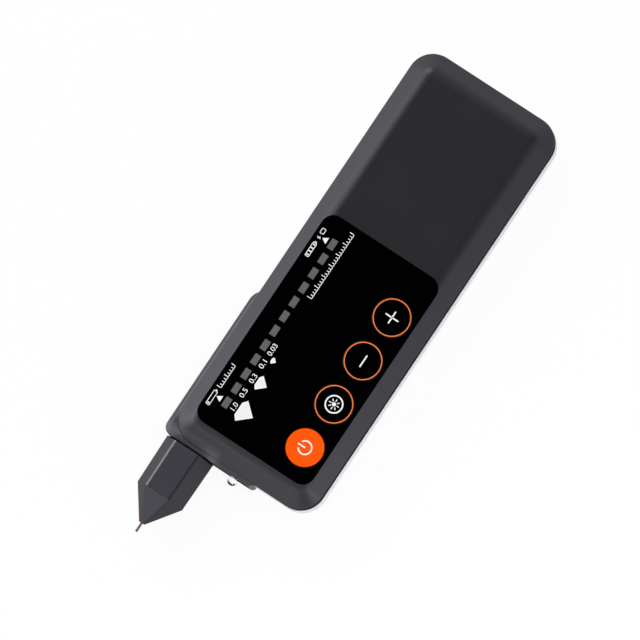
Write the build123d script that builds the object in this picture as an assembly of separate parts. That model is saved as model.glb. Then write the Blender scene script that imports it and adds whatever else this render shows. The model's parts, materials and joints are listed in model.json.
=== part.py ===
from build123d import *
import math
import os

# Hand-held thermal gem tester. Millimetres.
# X is across the case, Y runs from the probe to the charging end, Z rises from the back to the keys.
# The origin is the middle of the flat back.

# Case
case_length = 137.5
case_width = 50.0
case_corner_radius = 7.8
case_wall = 1.6
rear_cover_height = 9.0
front_cover_height = 8.0
rear_floor = 1.6
rear_edge_radius = 4.0
front_roof = 1.8
bevel_width = 5.6
bevel_drop = 4.5
bevel_outer_radius = 0.5
bevel_inner_radius = 5.4
parting_chamfer = 0.3

# Fits
slide_gap = 0.05
seam_gap = 0.1
cut_overrun = 1.0

# Panel overlay and its pocket
panel_side_margin = 4.6
panel_length = 73.06
panel_corner_radius = 4.0
panel_end_margin = 6.97
panel_recess = 0.85
panel_thickness = 1.2
panel_tape_thickness = 0.2
pocket_floor = 1.25
pocket_rim = 2.0

# Keys, counted from the probe end
key_names = ["power", "lamp", "minus", "plus"]
key_radius = 6.05
key_rim = 0.65
key_flange = 0.9
key_pitch = 15.46
key_side_inset = 7.3
key_end_inset = 10.18
key_proud = 0.1
key_edge_radius = 0.08
key_gap = 0.1
key_travel = 0.3

# Light bars
bar_count = 12
bar_length = 3.3
bar_width = 2.0
bar_side_inset = 6.45
bar_end_inset = 8.68
bar_far_inset = 7.95
guide_rail_width = 3.8
guide_rail_depth = 1.3
guide_slot_margin = 0.4
guide_rail_margin = 3.2
guide_peg = 1.4
bar_led_length = 2.0
bar_led_width = 1.25
bar_led_height = 0.7
bar_led_gap = 0.3

# Main board
board_thickness = 1.6
board_lift = 0.3
board_edge_gap = 1.0
board_end_inset = 3.28
board_far_reach = 2.72
board_post_gap = 0.9

# Key switches
switch_side = 6.0
switch_corner = 0.3
plunger_radius = 1.7
plunger_reach = 1.1
plunger_sink_share = 0.48
plunger_room_margin = 0.2
plunger_chamfer = 0.1

# Screws
screw_radius = 1.0
screw_roof_gap = 1.05
screw_head_radius = 1.9
screw_head_depth = 1.2
screw_head_sink = 0.15
screw_post_radius = 2.8
screw_boss_radius = 2.5
screw_boss_sink = 0.5
screw_tip_room = 0.4
case_screw_inset = 5.7
case_screw_end_inset = 6.45
housing_case_screw_inset = 6.7
housing_screw_side_inset = 18.8
housing_screw_end_inset = 10.05
housing_screw_plate_gap = 4.5
housing_screw_far_inset = 5.7
short_screw_length = 6.0
housing_screw_boss_radius = 2.4
housing_screw_boss_height = 4.6
driver_slot_width = 0.5
driver_slot_length = 1.9
driver_slot_depth = 0.6
board_screw_radius = 0.95
board_screw_roof_gap = 0.3
board_screw_head_radius = 1.8
board_screw_head_height = 1.3
board_boss_radius = 2.2
board_screw_inset = 2.8
board_screw_far_inset = 5.5
board_screw_end_inset = 7.5

# Probe housing, the dark block that shows beyond the left side and the probe end
housing_side_reach = 1.5
housing_end_reach = 1.3
housing_length = 51.8
housing_width = 32.0
housing_top_drop = 0.1
housing_wall = 1.6
housing_floor = 1.0
housing_corner_radius = 2.8
housing_far_radius = 5.0
housing_end_chamfer = 0.95
housing_slope_width = 1.8
housing_slope_drop = 1.6
housing_slope_radius = 0.6
housing_edge_radius = 0.9
housing_cavity_radius = 2.0
housing_boss_radius = 3.0
nose_pad_thickness = 1.5
nose_pad_width = 10.4

# Nose sleeve
nose_side_inset = 10.02
nose_ground_gap = 0.33
nose_across_corners = 16.8
nose_shoulder_across = 16.35
nose_corner_radius = 1.3
nose_prism_length = 16.25
nose_cone_length = 9.7
nose_tip_across = 2.0
nose_collar_radius = 5.6
nose_collar_height = 0.3
spigot_radius = 3.0
spigot_length = 7.65
nose_bore_radius = 2.2
nose_bore_depth = 13.65
shank_bore_radius = 1.0
shank_bore_depth = 9.0
nut_across_flats = 7.6
nut_height = 2.5

# Needle and its carriage
needle_radius = 0.39
needle_reach = 3.05
needle_point_radius = 0.12
needle_travel = 1.0
needle_bore_gap = 0.1
needle_tip_length = 7.35
shank_radius = 0.7
carrier_length = 5.0
heater_radius = 1.1
heater_length = 2.6
sensor_radius = 0.7
spring_room = 8.0
spring_coil_radius = 1.75
spring_wire_radius = 0.17
spring_turns = 7
seat_flange_radius = 2.8
seat_flange_height = 0.9
seat_bore_radius = 0.95
probe_wire_radius = 0.3
probe_wire_spread = 0.34
probe_wire_start = 0.2
probe_plug_length = 3.8
probe_plug_width = 6.4
probe_plug_height = 3.2
probe_socket_length = 5.2
probe_socket_width = 7.4
probe_socket_height = 4.0
probe_plug_gap_share = 0.33

# Inspection lamp at the probe end, a clear 3 mm diode
lamp_side_inset = 25.45
lamp_z = 6.5
lamp_radius = 1.5
lamp_reach = 2.55
lamp_flange_radius = 1.9
lamp_flange_height = 1.0
lamp_flange_proud = 0.2
lamp_flange_flat = 0.35
lamp_leg = 0.5
lamp_leg_pitch = 2.54
lamp_leg_hole_radius = 0.5
lamp_leg_inset = 2.0
lamp_leg_tail = 0.5

# Parts on the main board
controller_side = 7.0
controller_height = 1.4
controller_inset = 17.5
amplifier_width = 3.9
amplifier_length = 4.9
amplifier_height = 1.5
amplifier_buzzer_gap = 9.05
buzzer_radius = 4.5
buzzer_height = 1.9
buzzer_port_radius = 0.9
buzzer_port_depth = 1.0
buzzer_inset = 34.5
passive_length = 2.0
passive_width = 1.2
passive_height = 0.8
passive_pitch = 2.4
passive_row_gap = 4.0
passives_in_row = 4

# Battery
battery_width = 30.0
battery_height = 6.0
battery_edge_radius = 1.0
battery_pad_thickness = 0.5
battery_pad_margin = 2.0
battery_board_gap = 0.5
battery_charger_gap = 1.1
battery_lead_length = 2.0
battery_lead_radius = 0.6
battery_lead_spread = 1.1
battery_lead_z = 6.3
battery_plug_width = 4.8
battery_plug_length = 3.0
battery_plug_height = 3.2
battery_socket_width = 6.0
battery_socket_length = 4.5
battery_socket_height = 4.0

# Charging board and socket
charge_board_width = 20.0
charge_board_length = 11.3
charge_board_thickness = 1.2
charge_board_stand = 1.3
charge_board_wall_gap = 0.25
charge_pillar_radius = 2.2
charge_pillar_x = 8.0
charge_pillar_inset = 4.4
charge_screw_radius = 0.8
charge_screw_length = 2.9
charge_screw_head_radius = 1.5
charge_screw_head_height = 1.0
charge_chip_side = 2.5
charge_chip_inset = 2.8
charge_wire_radius = 0.5
charge_wire_start_x = 4.5
charge_wire_pitch = 1.3
charge_wire_inset = 1.0
charge_wire_battery_gap = 0.4
charge_wire_landing_inset = 3.0
charge_wire_bend = 1.2
usb_width = 8.94
usb_height = 3.2
usb_length = 7.3
usb_corner_radius = 1.3
usb_shell = 0.3
usb_mouth_recess = 0.15
usb_opening_gap = 0.2
usb_back_wall = 0.6
usb_tongue_width = 6.7
usb_tongue_thickness = 0.7
usb_tongue_setback = 0.6

# Metal plate on the back that the fingers touch, and the pin that joins it to the board. The stud ends beyond
# the probe housing, and the plate lies below it.
touch_plate_width = 12.0
touch_plate_length = 30.0
touch_plate_thickness = 0.5
touch_stud_radius = 1.5
touch_stud_height = 1.85
touch_stud_inset = 5.0
touch_stud_housing_gap = 9.8
contact_barrel_radius = 1.0
contact_barrel_length = 4.3
contact_tip_radius = 0.6

# Places worked out from the sizes above
case_thickness = rear_cover_height + front_cover_height
half_width = case_width / 2
half_length = case_length / 2
crease_z = case_thickness - bevel_drop
panel_width = case_width - 2 * panel_side_margin
panel_top = case_thickness - panel_recess
panel_underside = panel_top - panel_thickness
pocket_base = panel_underside - panel_tape_thickness
pocket_underside = pocket_base - pocket_floor
panel_low_y = -half_length + panel_end_margin
panel_far_y = panel_low_y + panel_length
panel_mid_y = panel_low_y + panel_length / 2
key_x = panel_width / 2 - key_side_inset
key_flange_base = panel_underside - slide_gap - key_flange
key_flange_radius = key_radius + key_rim
key_hole_radius = key_flange_radius + 2 * key_gap
bar_x = -panel_width / 2 + bar_side_inset
bar_pitch = (panel_length - bar_end_inset - bar_far_inset) / (bar_count - 1)
chip_row_x = (bar_x + guide_rail_width / 2 + key_x - key_hole_radius) / 2
board_base = rear_cover_height + board_lift
board_top = board_base + board_thickness
board_half_width = half_width - case_wall - board_edge_gap
board_low_y = panel_low_y + board_end_inset
board_far_y = panel_far_y + board_far_reach
switch_top = key_flange_base - plunger_reach
switch_height = switch_top - board_top
plunger_sink = switch_height * plunger_sink_share
plunger_room = key_travel + plunger_room_margin
screw_boss_top = pocket_underside + screw_boss_sink
screw_length = pocket_underside - screw_roof_gap - screw_head_sink
board_screw_length = pocket_underside - board_screw_roof_gap - board_base
housing_base = rear_floor + seam_gap
housing_top = crease_z - housing_top_drop
housing_left = -half_width - housing_side_reach
housing_right = housing_left + housing_width
housing_low_y = -half_length - housing_end_reach
housing_far_y = housing_low_y + housing_length
housing_inner_y = -half_length + case_wall + 2 * seam_gap
nut_seat_y = housing_inner_y + nose_pad_thickness
nose_x = housing_left + nose_side_inset
nose_z = nose_across_corners / 2 * math.cos(math.pi / 6) + nose_ground_gap
nose_back_y = housing_low_y - nose_collar_height
nose_cone_y = nose_back_y - nose_prism_length
nose_tip_y = nose_cone_y - nose_cone_length
spigot_end_y = housing_low_y + spigot_length
bore_end_y = nose_back_y - nose_bore_depth
carrier_back_y = bore_end_y + carrier_length
seat_front_y = carrier_back_y + spring_room
housing_case_screw_y = housing_far_y - housing_case_screw_inset
board_screw_low_y = board_low_y + board_screw_end_inset
plug_room_low_y = board_screw_low_y + board_screw_head_radius
plug_room_far_y = housing_case_screw_y - housing_boss_radius
plug_room_spare = plug_room_far_y - plug_room_low_y - probe_plug_length - probe_socket_length
probe_plug_low_y = plug_room_low_y + plug_room_spare * probe_plug_gap_share
probe_plug_far_y = probe_plug_low_y + probe_plug_length
probe_socket_far_y = probe_plug_far_y + probe_socket_length
lamp_x = housing_left + lamp_side_inset
lamp_base_y = housing_inner_y + lamp_flange_proud
lamp_landing_y = board_low_y + lamp_leg_inset
controller_y = board_low_y + controller_inset
buzzer_y = board_low_y + buzzer_inset
amplifier_y = buzzer_y + buzzer_radius + amplifier_buzzer_gap + amplifier_length / 2
charge_board_base = rear_floor + charge_board_stand
charge_board_top = charge_board_base + charge_board_thickness
charge_board_far_y = half_length - case_wall - charge_board_wall_gap
charge_board_low_y = charge_board_far_y - charge_board_length
charge_pillar_y = charge_board_far_y - charge_pillar_inset
charge_wire_x = battery_width / 2 + charge_wire_battery_gap + charge_wire_radius
battery_low_y = board_far_y + battery_board_gap
battery_far_y = charge_board_low_y - battery_charger_gap
battery_plug_far_y = battery_low_y - battery_lead_length
touch_stud_y = housing_far_y + touch_stud_housing_gap
touch_plate_y = touch_stud_y + touch_stud_inset - touch_plate_length / 2

key_places = [(key_x, panel_low_y + key_end_inset + key_pitch * i) for i in range(len(key_names))]
bar_places = [(bar_x, panel_low_y + bar_end_inset + bar_pitch * i) for i in range(bar_count)]
case_screw_corners = [
    (half_width - case_screw_inset, -half_length + case_screw_end_inset),
    (half_width - case_screw_inset, half_length - case_screw_end_inset),
    (-half_width + case_screw_inset, half_length - case_screw_end_inset),
]
housing_case_screw = (-half_width + case_screw_inset, housing_case_screw_y)
case_screw_places = case_screw_corners + [housing_case_screw]
housing_screw_places = [
    (housing_left + housing_screw_side_inset, housing_low_y + housing_screw_end_inset),
    (-touch_plate_width / 2 - housing_screw_plate_gap, housing_far_y - housing_screw_far_inset),
]
board_screw_side = board_half_width - board_screw_inset
board_screw_places = [
    (board_screw_side, board_far_y - board_screw_far_inset),
    (-board_screw_side, board_far_y - board_screw_far_inset),
    (chip_row_x, board_screw_low_y),
    (-board_screw_side, board_screw_low_y),
]


# Small helpers

def block(x_span, y_span, z_span):
    """Plain block between two values along each axis."""
    sizes = [span[1] - span[0] for span in (x_span, y_span, z_span)]
    middles = [(span[1] + span[0]) / 2 for span in (x_span, y_span, z_span)]
    return Pos(*middles) * Box(*sizes)


def standing_block(x, y, width, length, z_span):
    """Block centred on a point of the XY plane."""
    return block((x - width / 2, x + width / 2), (y - length / 2, y + length / 2), z_span)


def post(x, y, radius, z_span):
    """Round post along Z."""
    return Pos(x, y, (z_span[0] + z_span[1]) / 2) * Cylinder(radius, z_span[1] - z_span[0])


def rod(x, z, radius, y_span):
    """Round rod along Y."""
    place = Pos(x, (y_span[0] + y_span[1]) / 2, z)
    return place * Rot(90, 0, 0) * Cylinder(radius, y_span[1] - y_span[0])


def rounded_slab(x, y, width, length, radius, z_span):
    """Slab with rounded upright corners."""
    outline = Pos(x, y, z_span[0]) * RectangleRounded(width, length, radius)
    return extrude(outline, z_span[1] - z_span[0])


def case_slab(inset, z_span):
    """The case's outline, drawn in by an inset, as a slab."""
    width = case_width - 2 * inset
    length = case_length - 2 * inset
    return rounded_slab(0, 0, width, length, case_corner_radius - inset, z_span)


def sloped(slab, width, drop):
    """The slab with a slope round its upper face."""
    upper_face = slab.faces().sort_by(Axis.Z)[-1]
    return chamfer(upper_face.edges(), width, drop, reference=upper_face)


def bevelled(slab):
    """The slab with the case's wide bevel."""
    return sloped(slab, bevel_width, bevel_drop)


def eased(body, z, radius):
    """The body with its level edges at one height rounded."""
    edges = [e for e in body.edges() if abs(e.center().Z - z) < slide_gap]
    return fillet(edges, radius)


def group(pieces):
    """Separate solids kept together."""
    return Compound(children=[solid for piece in pieces for solid in piece.solids()])


def cross_recess(x, y, z, depth):
    """Cross-shaped driver recess cut upwards from z."""
    span = (z - cut_overrun, z + depth)
    bar_one = standing_block(x, y, driver_slot_width, driver_slot_length, span)
    bar_two = standing_block(x, y, driver_slot_length, driver_slot_width, span)
    return bar_one + bar_two


def countersink(x, y, gap):
    """Cone of a flat screw head, grown by a gap."""
    rim = screw_head_radius + gap
    neck = screw_radius + gap
    return Pos(x, y, screw_head_sink + screw_head_depth / 2) * Cone(rim, neck, screw_head_depth)


def flat_screw_hole(x, y):
    """Hole in the rear cover's floor for a flat-head screw."""
    mouth = post(x, y, screw_head_radius + slide_gap, (-cut_overrun, screw_head_sink))
    shank = post(x, y, screw_radius + 2 * slide_gap, (0, rear_cover_height + cut_overrun))
    return mouth + countersink(x, y, slide_gap) + shank


# Case

def front_cover():
    body_span = (rear_cover_height, case_thickness)
    outer = eased(bevelled(case_slab(0, body_span)), crease_z, bevel_outer_radius)
    outer = fillet(outer.edges().group_by(Axis.Z)[-1], bevel_inner_radius)
    outer = chamfer(outer.faces().sort_by(Axis.Z)[0].edges(), parting_chamfer)
    cavity_span = (rear_cover_height - cut_overrun, case_thickness - front_roof)
    cavity = bevelled(case_slab(case_wall, cavity_span))
    floor_width = panel_width + 2 * pocket_rim
    floor_length = panel_length + 2 * pocket_rim
    floor_span = (pocket_underside, pocket_base)
    floor_radius = panel_corner_radius + pocket_rim
    floor = rounded_slab(0, panel_mid_y, floor_width, floor_length, floor_radius, floor_span)
    cover = outer - cavity + (floor & outer)
    pocket_span = (pocket_base, case_thickness + cut_overrun)
    pocket_width = panel_width + 2 * seam_gap
    pocket_length = panel_length + 2 * seam_gap
    pocket_radius = panel_corner_radius + seam_gap
    cover = cover - rounded_slab(0, panel_mid_y, pocket_width, pocket_length, pocket_radius, pocket_span)
    boss_base = rear_cover_height + slide_gap
    for x, y in case_screw_places:
        cover = cover + post(x, y, screw_boss_radius, (boss_base, screw_boss_top))
        hole_top = screw_head_sink + screw_length + screw_tip_room
        cover = cover - post(x, y, screw_radius + slide_gap, (boss_base - cut_overrun, hole_top))
    for x, y in board_screw_places:
        cover = cover + post(x, y, board_boss_radius, (board_top, screw_boss_top))
        hole_top = board_base + board_screw_length + screw_tip_room
        cover = cover - post(x, y, board_screw_radius + slide_gap, (board_top - cut_overrun, hole_top))
    for x, y in key_places:
        hole_span = (pocket_underside - cut_overrun, pocket_base + cut_overrun)
        cover = cover - post(x, y, key_hole_radius, hole_span)
    cover = cover - guide_slot((pocket_underside - cut_overrun, pocket_base + cut_overrun))
    notch_span = (-half_length - cut_overrun, -half_length + case_wall + cut_overrun)
    return cover - rod(nose_x, nose_z, spigot_radius + seam_gap, notch_span)


def guide_slot(z_span):
    """Slot that the twelve bars rise through."""
    low_y = bar_places[0][1] - bar_length / 2 - guide_slot_margin
    high_y = bar_places[-1][1] + bar_length / 2 + guide_slot_margin
    half_slot = bar_width / 2 + seam_gap
    return block((bar_x - half_slot, bar_x + half_slot), (low_y, high_y), z_span)


def rear_cover():
    outer = case_slab(0, (0, rear_cover_height))
    outer = fillet(outer.faces().sort_by(Axis.Z)[0].edges(), rear_edge_radius)
    outer = chamfer(outer.faces().sort_by(Axis.Z)[-1].edges(), parting_chamfer)
    cavity = case_slab(case_wall, (rear_floor, rear_cover_height + cut_overrun))
    cavity = fillet(cavity.faces().sort_by(Axis.Z)[0].edges(), rear_edge_radius - case_wall)
    cover = outer - cavity
    for x, y in case_screw_corners:
        post_span = (rear_floor - screw_head_sink, rear_cover_height - slide_gap)
        cover = cover + (post(x, y, screw_post_radius, post_span) & outer)
    for side in (-1, 1):
        pillar_span = (rear_floor - screw_head_sink, charge_board_base)
        cover = cover + post(side * charge_pillar_x, charge_pillar_y, charge_pillar_radius, pillar_span)
    for x, y in case_screw_places + housing_screw_places:
        cover = cover - flat_screw_hole(x, y)
    for side in (-1, 1):
        hole_base = charge_board_top - charge_screw_length - screw_tip_room
        hole_span = (hole_base, charge_board_base + cut_overrun)
        cover = cover - post(side * charge_pillar_x, charge_pillar_y, charge_screw_radius + slide_gap, hole_span)
    housing_room = (housing_base - slide_gap, rear_cover_height + cut_overrun)
    cover = cover - (housing_slab(slide_gap, housing_room) - housing_corner(slide_gap, housing_room))
    slot_span = (half_length - case_wall - cut_overrun, half_length + cut_overrun)
    cover = cover - usb_form(usb_opening_gap, slot_span)
    recess_span = (-cut_overrun, touch_plate_thickness + seam_gap)
    recess_width = touch_plate_width + 2 * seam_gap
    recess_length = touch_plate_length + 2 * seam_gap
    recess_radius = touch_plate_width / 2
    cover = cover - rounded_slab(0, touch_plate_y, recess_width, recess_length, recess_radius, recess_span)
    return cover - post(0, touch_stud_y, touch_stud_radius + slide_gap, (0, rear_floor + cut_overrun))


# Probe housing

def housing_slab(gap, z_span):
    """The housing's plan, grown by a gap, as a slab. Its corner towards the lamp is still square."""
    left = housing_left - gap
    right = housing_right + gap
    low = housing_low_y - gap
    far = housing_far_y + gap
    slab = block((left, right), (low, far), z_span)
    upright = slab.edges().filter_by(Axis.Z)
    low_left = upright.sort_by_distance((left, low, z_span[0]))[0]
    slab = fillet(low_left, housing_corner_radius)
    upright = slab.edges().filter_by(Axis.Z)
    far_left = upright.sort_by_distance((left, far, z_span[0]))[0]
    return fillet(far_left, housing_far_radius)


def housing_corner(gap, z_span):
    """Turned block that takes off the square corner, next to the lamp."""
    side = housing_end_chamfer * math.sqrt(2)
    place = Pos(housing_right + gap, housing_low_y - gap, (z_span[0] + z_span[1]) / 2)
    return place * Rot(0, 0, 45) * Box(side, side, z_span[1] - z_span[0])


def probe_housing():
    body_span = (housing_base, housing_top)
    body = sloped(housing_slab(0, body_span), housing_slope_width, housing_slope_drop)
    body = eased(body, housing_top - housing_slope_drop, housing_slope_radius)
    body = fillet(body.faces().sort_by(Axis.Z)[0].edges(), housing_edge_radius)
    body = body - housing_corner(0, body_span)
    body = body - case_slab(-slide_gap, (rear_cover_height, case_thickness))
    cavity_left = -half_width + case_wall
    cavity_right = housing_right - housing_wall
    cavity_far = housing_far_y - housing_wall
    cavity_width = cavity_right - cavity_left
    cavity_length = cavity_far - housing_inner_y
    cavity_span = (housing_base + housing_floor, case_thickness)
    cavity_x = (cavity_left + cavity_right) / 2
    cavity_y = (housing_inner_y + cavity_far) / 2
    body = body - rounded_slab(
        cavity_x, cavity_y, cavity_width, cavity_length, housing_cavity_radius, cavity_span
    )
    boss_x, boss_y = housing_case_screw
    boss_span = (housing_base + housing_floor / 2, rear_cover_height - slide_gap)
    body = body + post(boss_x, boss_y, housing_boss_radius, boss_span)
    for x, y in housing_screw_places:
        boss_span = (housing_base + housing_floor / 2, housing_base + housing_floor + housing_screw_boss_height)
        body = body + post(x, y, housing_screw_boss_radius, boss_span)
        hole_top = screw_head_sink + short_screw_length + screw_tip_room
        body = body - post(x, y, screw_radius + slide_gap, (0, hole_top))
    body = body - post(boss_x, boss_y, screw_radius + 2 * slide_gap, (0, rear_cover_height + cut_overrun))
    pad_x = (nose_x - nose_pad_width / 2, nose_x + nose_pad_width / 2)
    pad_z = (housing_base + housing_floor / 2, rear_cover_height - slide_gap)
    body = body + block(pad_x, (housing_inner_y - housing_wall / 2, nut_seat_y), pad_z)
    wall_span = (housing_low_y - cut_overrun, nut_seat_y + cut_overrun)
    body = body - rod(nose_x, nose_z, spigot_radius + seam_gap, wall_span)
    body = body - rod(lamp_x, lamp_z, lamp_radius + seam_gap, wall_span)
    flange_front = housing_inner_y + lamp_flange_proud - lamp_flange_height
    flange_span = (flange_front, housing_inner_y + cut_overrun)
    return body - rod(lamp_x, lamp_z, lamp_flange_radius + seam_gap, flange_span)


# Panel

def panel_slab(margin, z_span):
    """The panel's outline, drawn in by a margin, as a slab."""
    width = panel_width - 2 * margin
    length = panel_length - 2 * margin
    return rounded_slab(0, panel_mid_y, width, length, panel_corner_radius - margin, z_span)


def panel_overlay():
    overlay = panel_slab(0, (panel_underside, panel_top))
    span = (panel_underside - cut_overrun, panel_top + cut_overrun)
    for x, y in key_places:
        overlay = overlay - post(x, y, key_radius + key_gap, span)
    window_width = bar_width + 2 * slide_gap
    window_length = bar_length + 2 * slide_gap
    for x, y in bar_places:
        overlay = overlay - standing_block(x, y, window_width, window_length, span)
    return overlay


def panel_tape():
    tape = panel_slab(seam_gap, (pocket_base, panel_underside))
    span = (pocket_base - cut_overrun, panel_underside + cut_overrun)
    for x, y in key_places:
        tape = tape - post(x, y, key_hole_radius, span)
    return tape - guide_slot(span)


def key_cap(x, y):
    disc_top = panel_top + key_proud
    disc = post(x, y, key_radius, (key_flange_base, disc_top))
    disc = fillet(disc.faces().sort_by(Axis.Z)[-1].edges(), key_edge_radius)
    flange = post(x, y, key_flange_radius, (key_flange_base, key_flange_base + key_flange))
    return disc + flange


def light_guide():
    rail_top = pocket_underside - seam_gap
    rail_span = (rail_top - guide_rail_depth, rail_top)
    low_y = bar_places[0][1] - guide_rail_margin
    high_y = bar_places[-1][1] + guide_rail_margin
    half_rail = guide_rail_width / 2
    rail = block((bar_x - half_rail, bar_x + half_rail), (low_y, high_y), rail_span)
    post_base = board_top + bar_led_height + bar_led_gap
    for x, y in bar_places:
        rail = rail + standing_block(x, y, bar_width, bar_length, (post_base, panel_top))
    peg_span = (board_top, rail_top)
    rail = rail + standing_block(bar_x, low_y + guide_peg / 2, bar_width, guide_peg, peg_span)
    return rail + standing_block(bar_x, high_y - guide_peg / 2, bar_width, guide_peg, peg_span)


# Main board and what it carries

def main_board():
    board = block(
        (-board_half_width, board_half_width),
        (board_low_y, board_far_y),
        (board_base, board_top),
    )
    span = (board_base - cut_overrun, board_top + cut_overrun)
    notch_x, notch_y = housing_case_screw
    notch_half = screw_boss_radius + board_post_gap
    board = board - block(
        (-board_half_width - cut_overrun, notch_x + notch_half),
        (notch_y - notch_half, notch_y + notch_half),
        span,
    )
    for x, y in board_screw_places:
        board = board - post(x, y, board_screw_radius + seam_gap, span)
    for side in (-1, 1):
        leg_x = lamp_x + side * lamp_leg_pitch / 2
        board = board - post(leg_x, lamp_landing_y, lamp_leg_hole_radius, span)
    return board


def bar_leds():
    span = (board_top, board_top + bar_led_height)
    return group([standing_block(x, y, bar_led_width, bar_led_length, span) for x, y in bar_places])


def key_switch(x, y):
    body = standing_block(x, y, switch_side, switch_side, (board_top, switch_top))
    body = chamfer(body.edges().filter_by(Axis.Z), switch_corner)
    well_base = switch_top - plunger_sink - plunger_room
    return body - post(x, y, plunger_radius + slide_gap, (well_base, switch_top + cut_overrun))


def key_plunger(x, y):
    plunger = post(x, y, plunger_radius, (switch_top - plunger_sink, key_flange_base))
    return chamfer(plunger.faces().sort_by(Axis.Z)[0].edges(), plunger_chamfer)


def controller_chip():
    span = (board_top, board_top + controller_height)
    return standing_block(chip_row_x, controller_y, controller_side, controller_side, span)


def amplifier_chip():
    span = (board_top, board_top + amplifier_height)
    return standing_block(chip_row_x, amplifier_y, amplifier_width, amplifier_length, span)


def buzzer():
    span = (board_top, board_top + buzzer_height)
    can = post(chip_row_x, buzzer_y, buzzer_radius, span)
    port_span = (span[1] - buzzer_port_depth, span[1] + cut_overrun)
    return can - post(chip_row_x, buzzer_y, buzzer_port_radius, port_span)


def board_passives():
    span = (board_top, board_top + passive_height)
    rows_y = [
        controller_y + controller_side / 2 + passive_row_gap,
        amplifier_y - amplifier_length / 2 - passive_row_gap,
        amplifier_y + amplifier_length / 2 + passive_row_gap,
    ]
    chips = []
    for y in rows_y:
        for i in range(passives_in_row):
            x = chip_row_x + (i - (passives_in_row - 1) / 2) * passive_pitch
            chips.append(standing_block(x, y, passive_width, passive_length, span))
    return group(chips)


# Power

def battery_cell():
    base = rear_floor + battery_pad_thickness
    x_span = (-battery_width / 2, battery_width / 2)
    cell = block(x_span, (battery_low_y, battery_far_y), (base, base + battery_height))
    return fillet(cell.edges(), battery_edge_radius)


def battery_pad():
    half_pad = battery_width / 2 - battery_pad_margin
    y_span = (battery_low_y + battery_pad_margin, battery_far_y - battery_pad_margin)
    return block((-half_pad, half_pad), y_span, (rear_floor, rear_floor + battery_pad_thickness))


def battery_lead(side):
    y_span = (battery_plug_far_y, battery_low_y)
    return rod(side * battery_lead_spread, battery_lead_z, battery_lead_radius, y_span)


def battery_plug():
    middle_z = board_base - battery_socket_height / 2
    half_height = battery_plug_height / 2
    half_plug = battery_plug_width / 2
    return block(
        (-half_plug, half_plug),
        (battery_plug_far_y - battery_plug_length, battery_plug_far_y),
        (middle_z - half_height, middle_z + half_height),
    )


def battery_socket():
    far_y = battery_plug_far_y - battery_plug_length
    half_socket = battery_socket_width / 2
    return block(
        (-half_socket, half_socket),
        (far_y - battery_socket_length, far_y),
        (board_base - battery_socket_height, board_base),
    )


def charge_board():
    half_board = charge_board_width / 2
    y_span = (charge_board_low_y, charge_board_far_y)
    board = block((-half_board, half_board), y_span, (charge_board_base, charge_board_top))
    span = (charge_board_base - cut_overrun, charge_board_top + cut_overrun)
    for side in (-1, 1):
        board = board - post(side * charge_pillar_x, charge_pillar_y, charge_screw_radius + seam_gap, span)
    return board


def charge_chip():
    span = (charge_board_top, charge_board_top + amplifier_height)
    chip_y = charge_board_low_y + charge_chip_inset
    return standing_block(-charge_chip_side, chip_y, amplifier_length, amplifier_width, span)


def usb_form(gap, y_span):
    """Rounded outline of the socket, grown by a gap, as a bar along Y."""
    width = usb_width + 2 * gap
    height = usb_height + 2 * gap
    outline = RectangleRounded(width, height, usb_corner_radius + gap)
    middle_z = charge_board_top + usb_height / 2
    frame = Plane(origin=(0, y_span[1], middle_z), x_dir=(1, 0, 0), z_dir=(0, -1, 0))
    return extrude(frame * outline, y_span[1] - y_span[0])


def usb_socket():
    mouth = half_length - usb_mouth_recess
    shell = usb_form(0, (mouth - usb_length, mouth))
    return shell - usb_form(-usb_shell, (mouth - usb_length + usb_back_wall, mouth + cut_overrun))


def usb_tongue():
    mouth = half_length - usb_mouth_recess
    middle_z = charge_board_top + usb_height / 2
    half_tongue = usb_tongue_width / 2
    half_thickness = usb_tongue_thickness / 2
    return block(
        (-half_tongue, half_tongue),
        (mouth - usb_length + usb_back_wall, mouth - usb_tongue_setback),
        (middle_z - half_thickness, middle_z + half_thickness),
    )


def charge_leads():
    wires = []
    for i in range(2):
        start_y = charge_board_low_y + charge_wire_inset + charge_wire_pitch * i
        landing_y = board_far_y - charge_wire_landing_inset
        side_x = charge_wire_x + charge_wire_pitch * i
        low_z = charge_board_top + charge_wire_radius
        path = FilletPolyline(
            (charge_wire_start_x, start_y, low_z),
            (side_x, start_y, low_z),
            (side_x, landing_y, low_z),
            (side_x, landing_y, board_base),
            radius=charge_wire_bend,
        )
        section = Plane(origin=path @ 0, z_dir=path % 0) * Circle(charge_wire_radius)
        wires.append(sweep(section, path=path))
    return group(wires)


# Probe

def nose_plane(y):
    """Plane across the nose, facing the needle's point."""
    return Plane(origin=(nose_x, y, nose_z), x_dir=(1, 0, 0), z_dir=(0, -1, 0))


def hexagon(across_corners, corner_radius):
    """Six-sided outline with flats above and below and eased corners."""
    shape = RegularPolygon(across_corners / 2, 6)
    return fillet(shape.vertices(), corner_radius)


def nose_rod(radius, y_span):
    return rod(nose_x, nose_z, radius, y_span)


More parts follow.
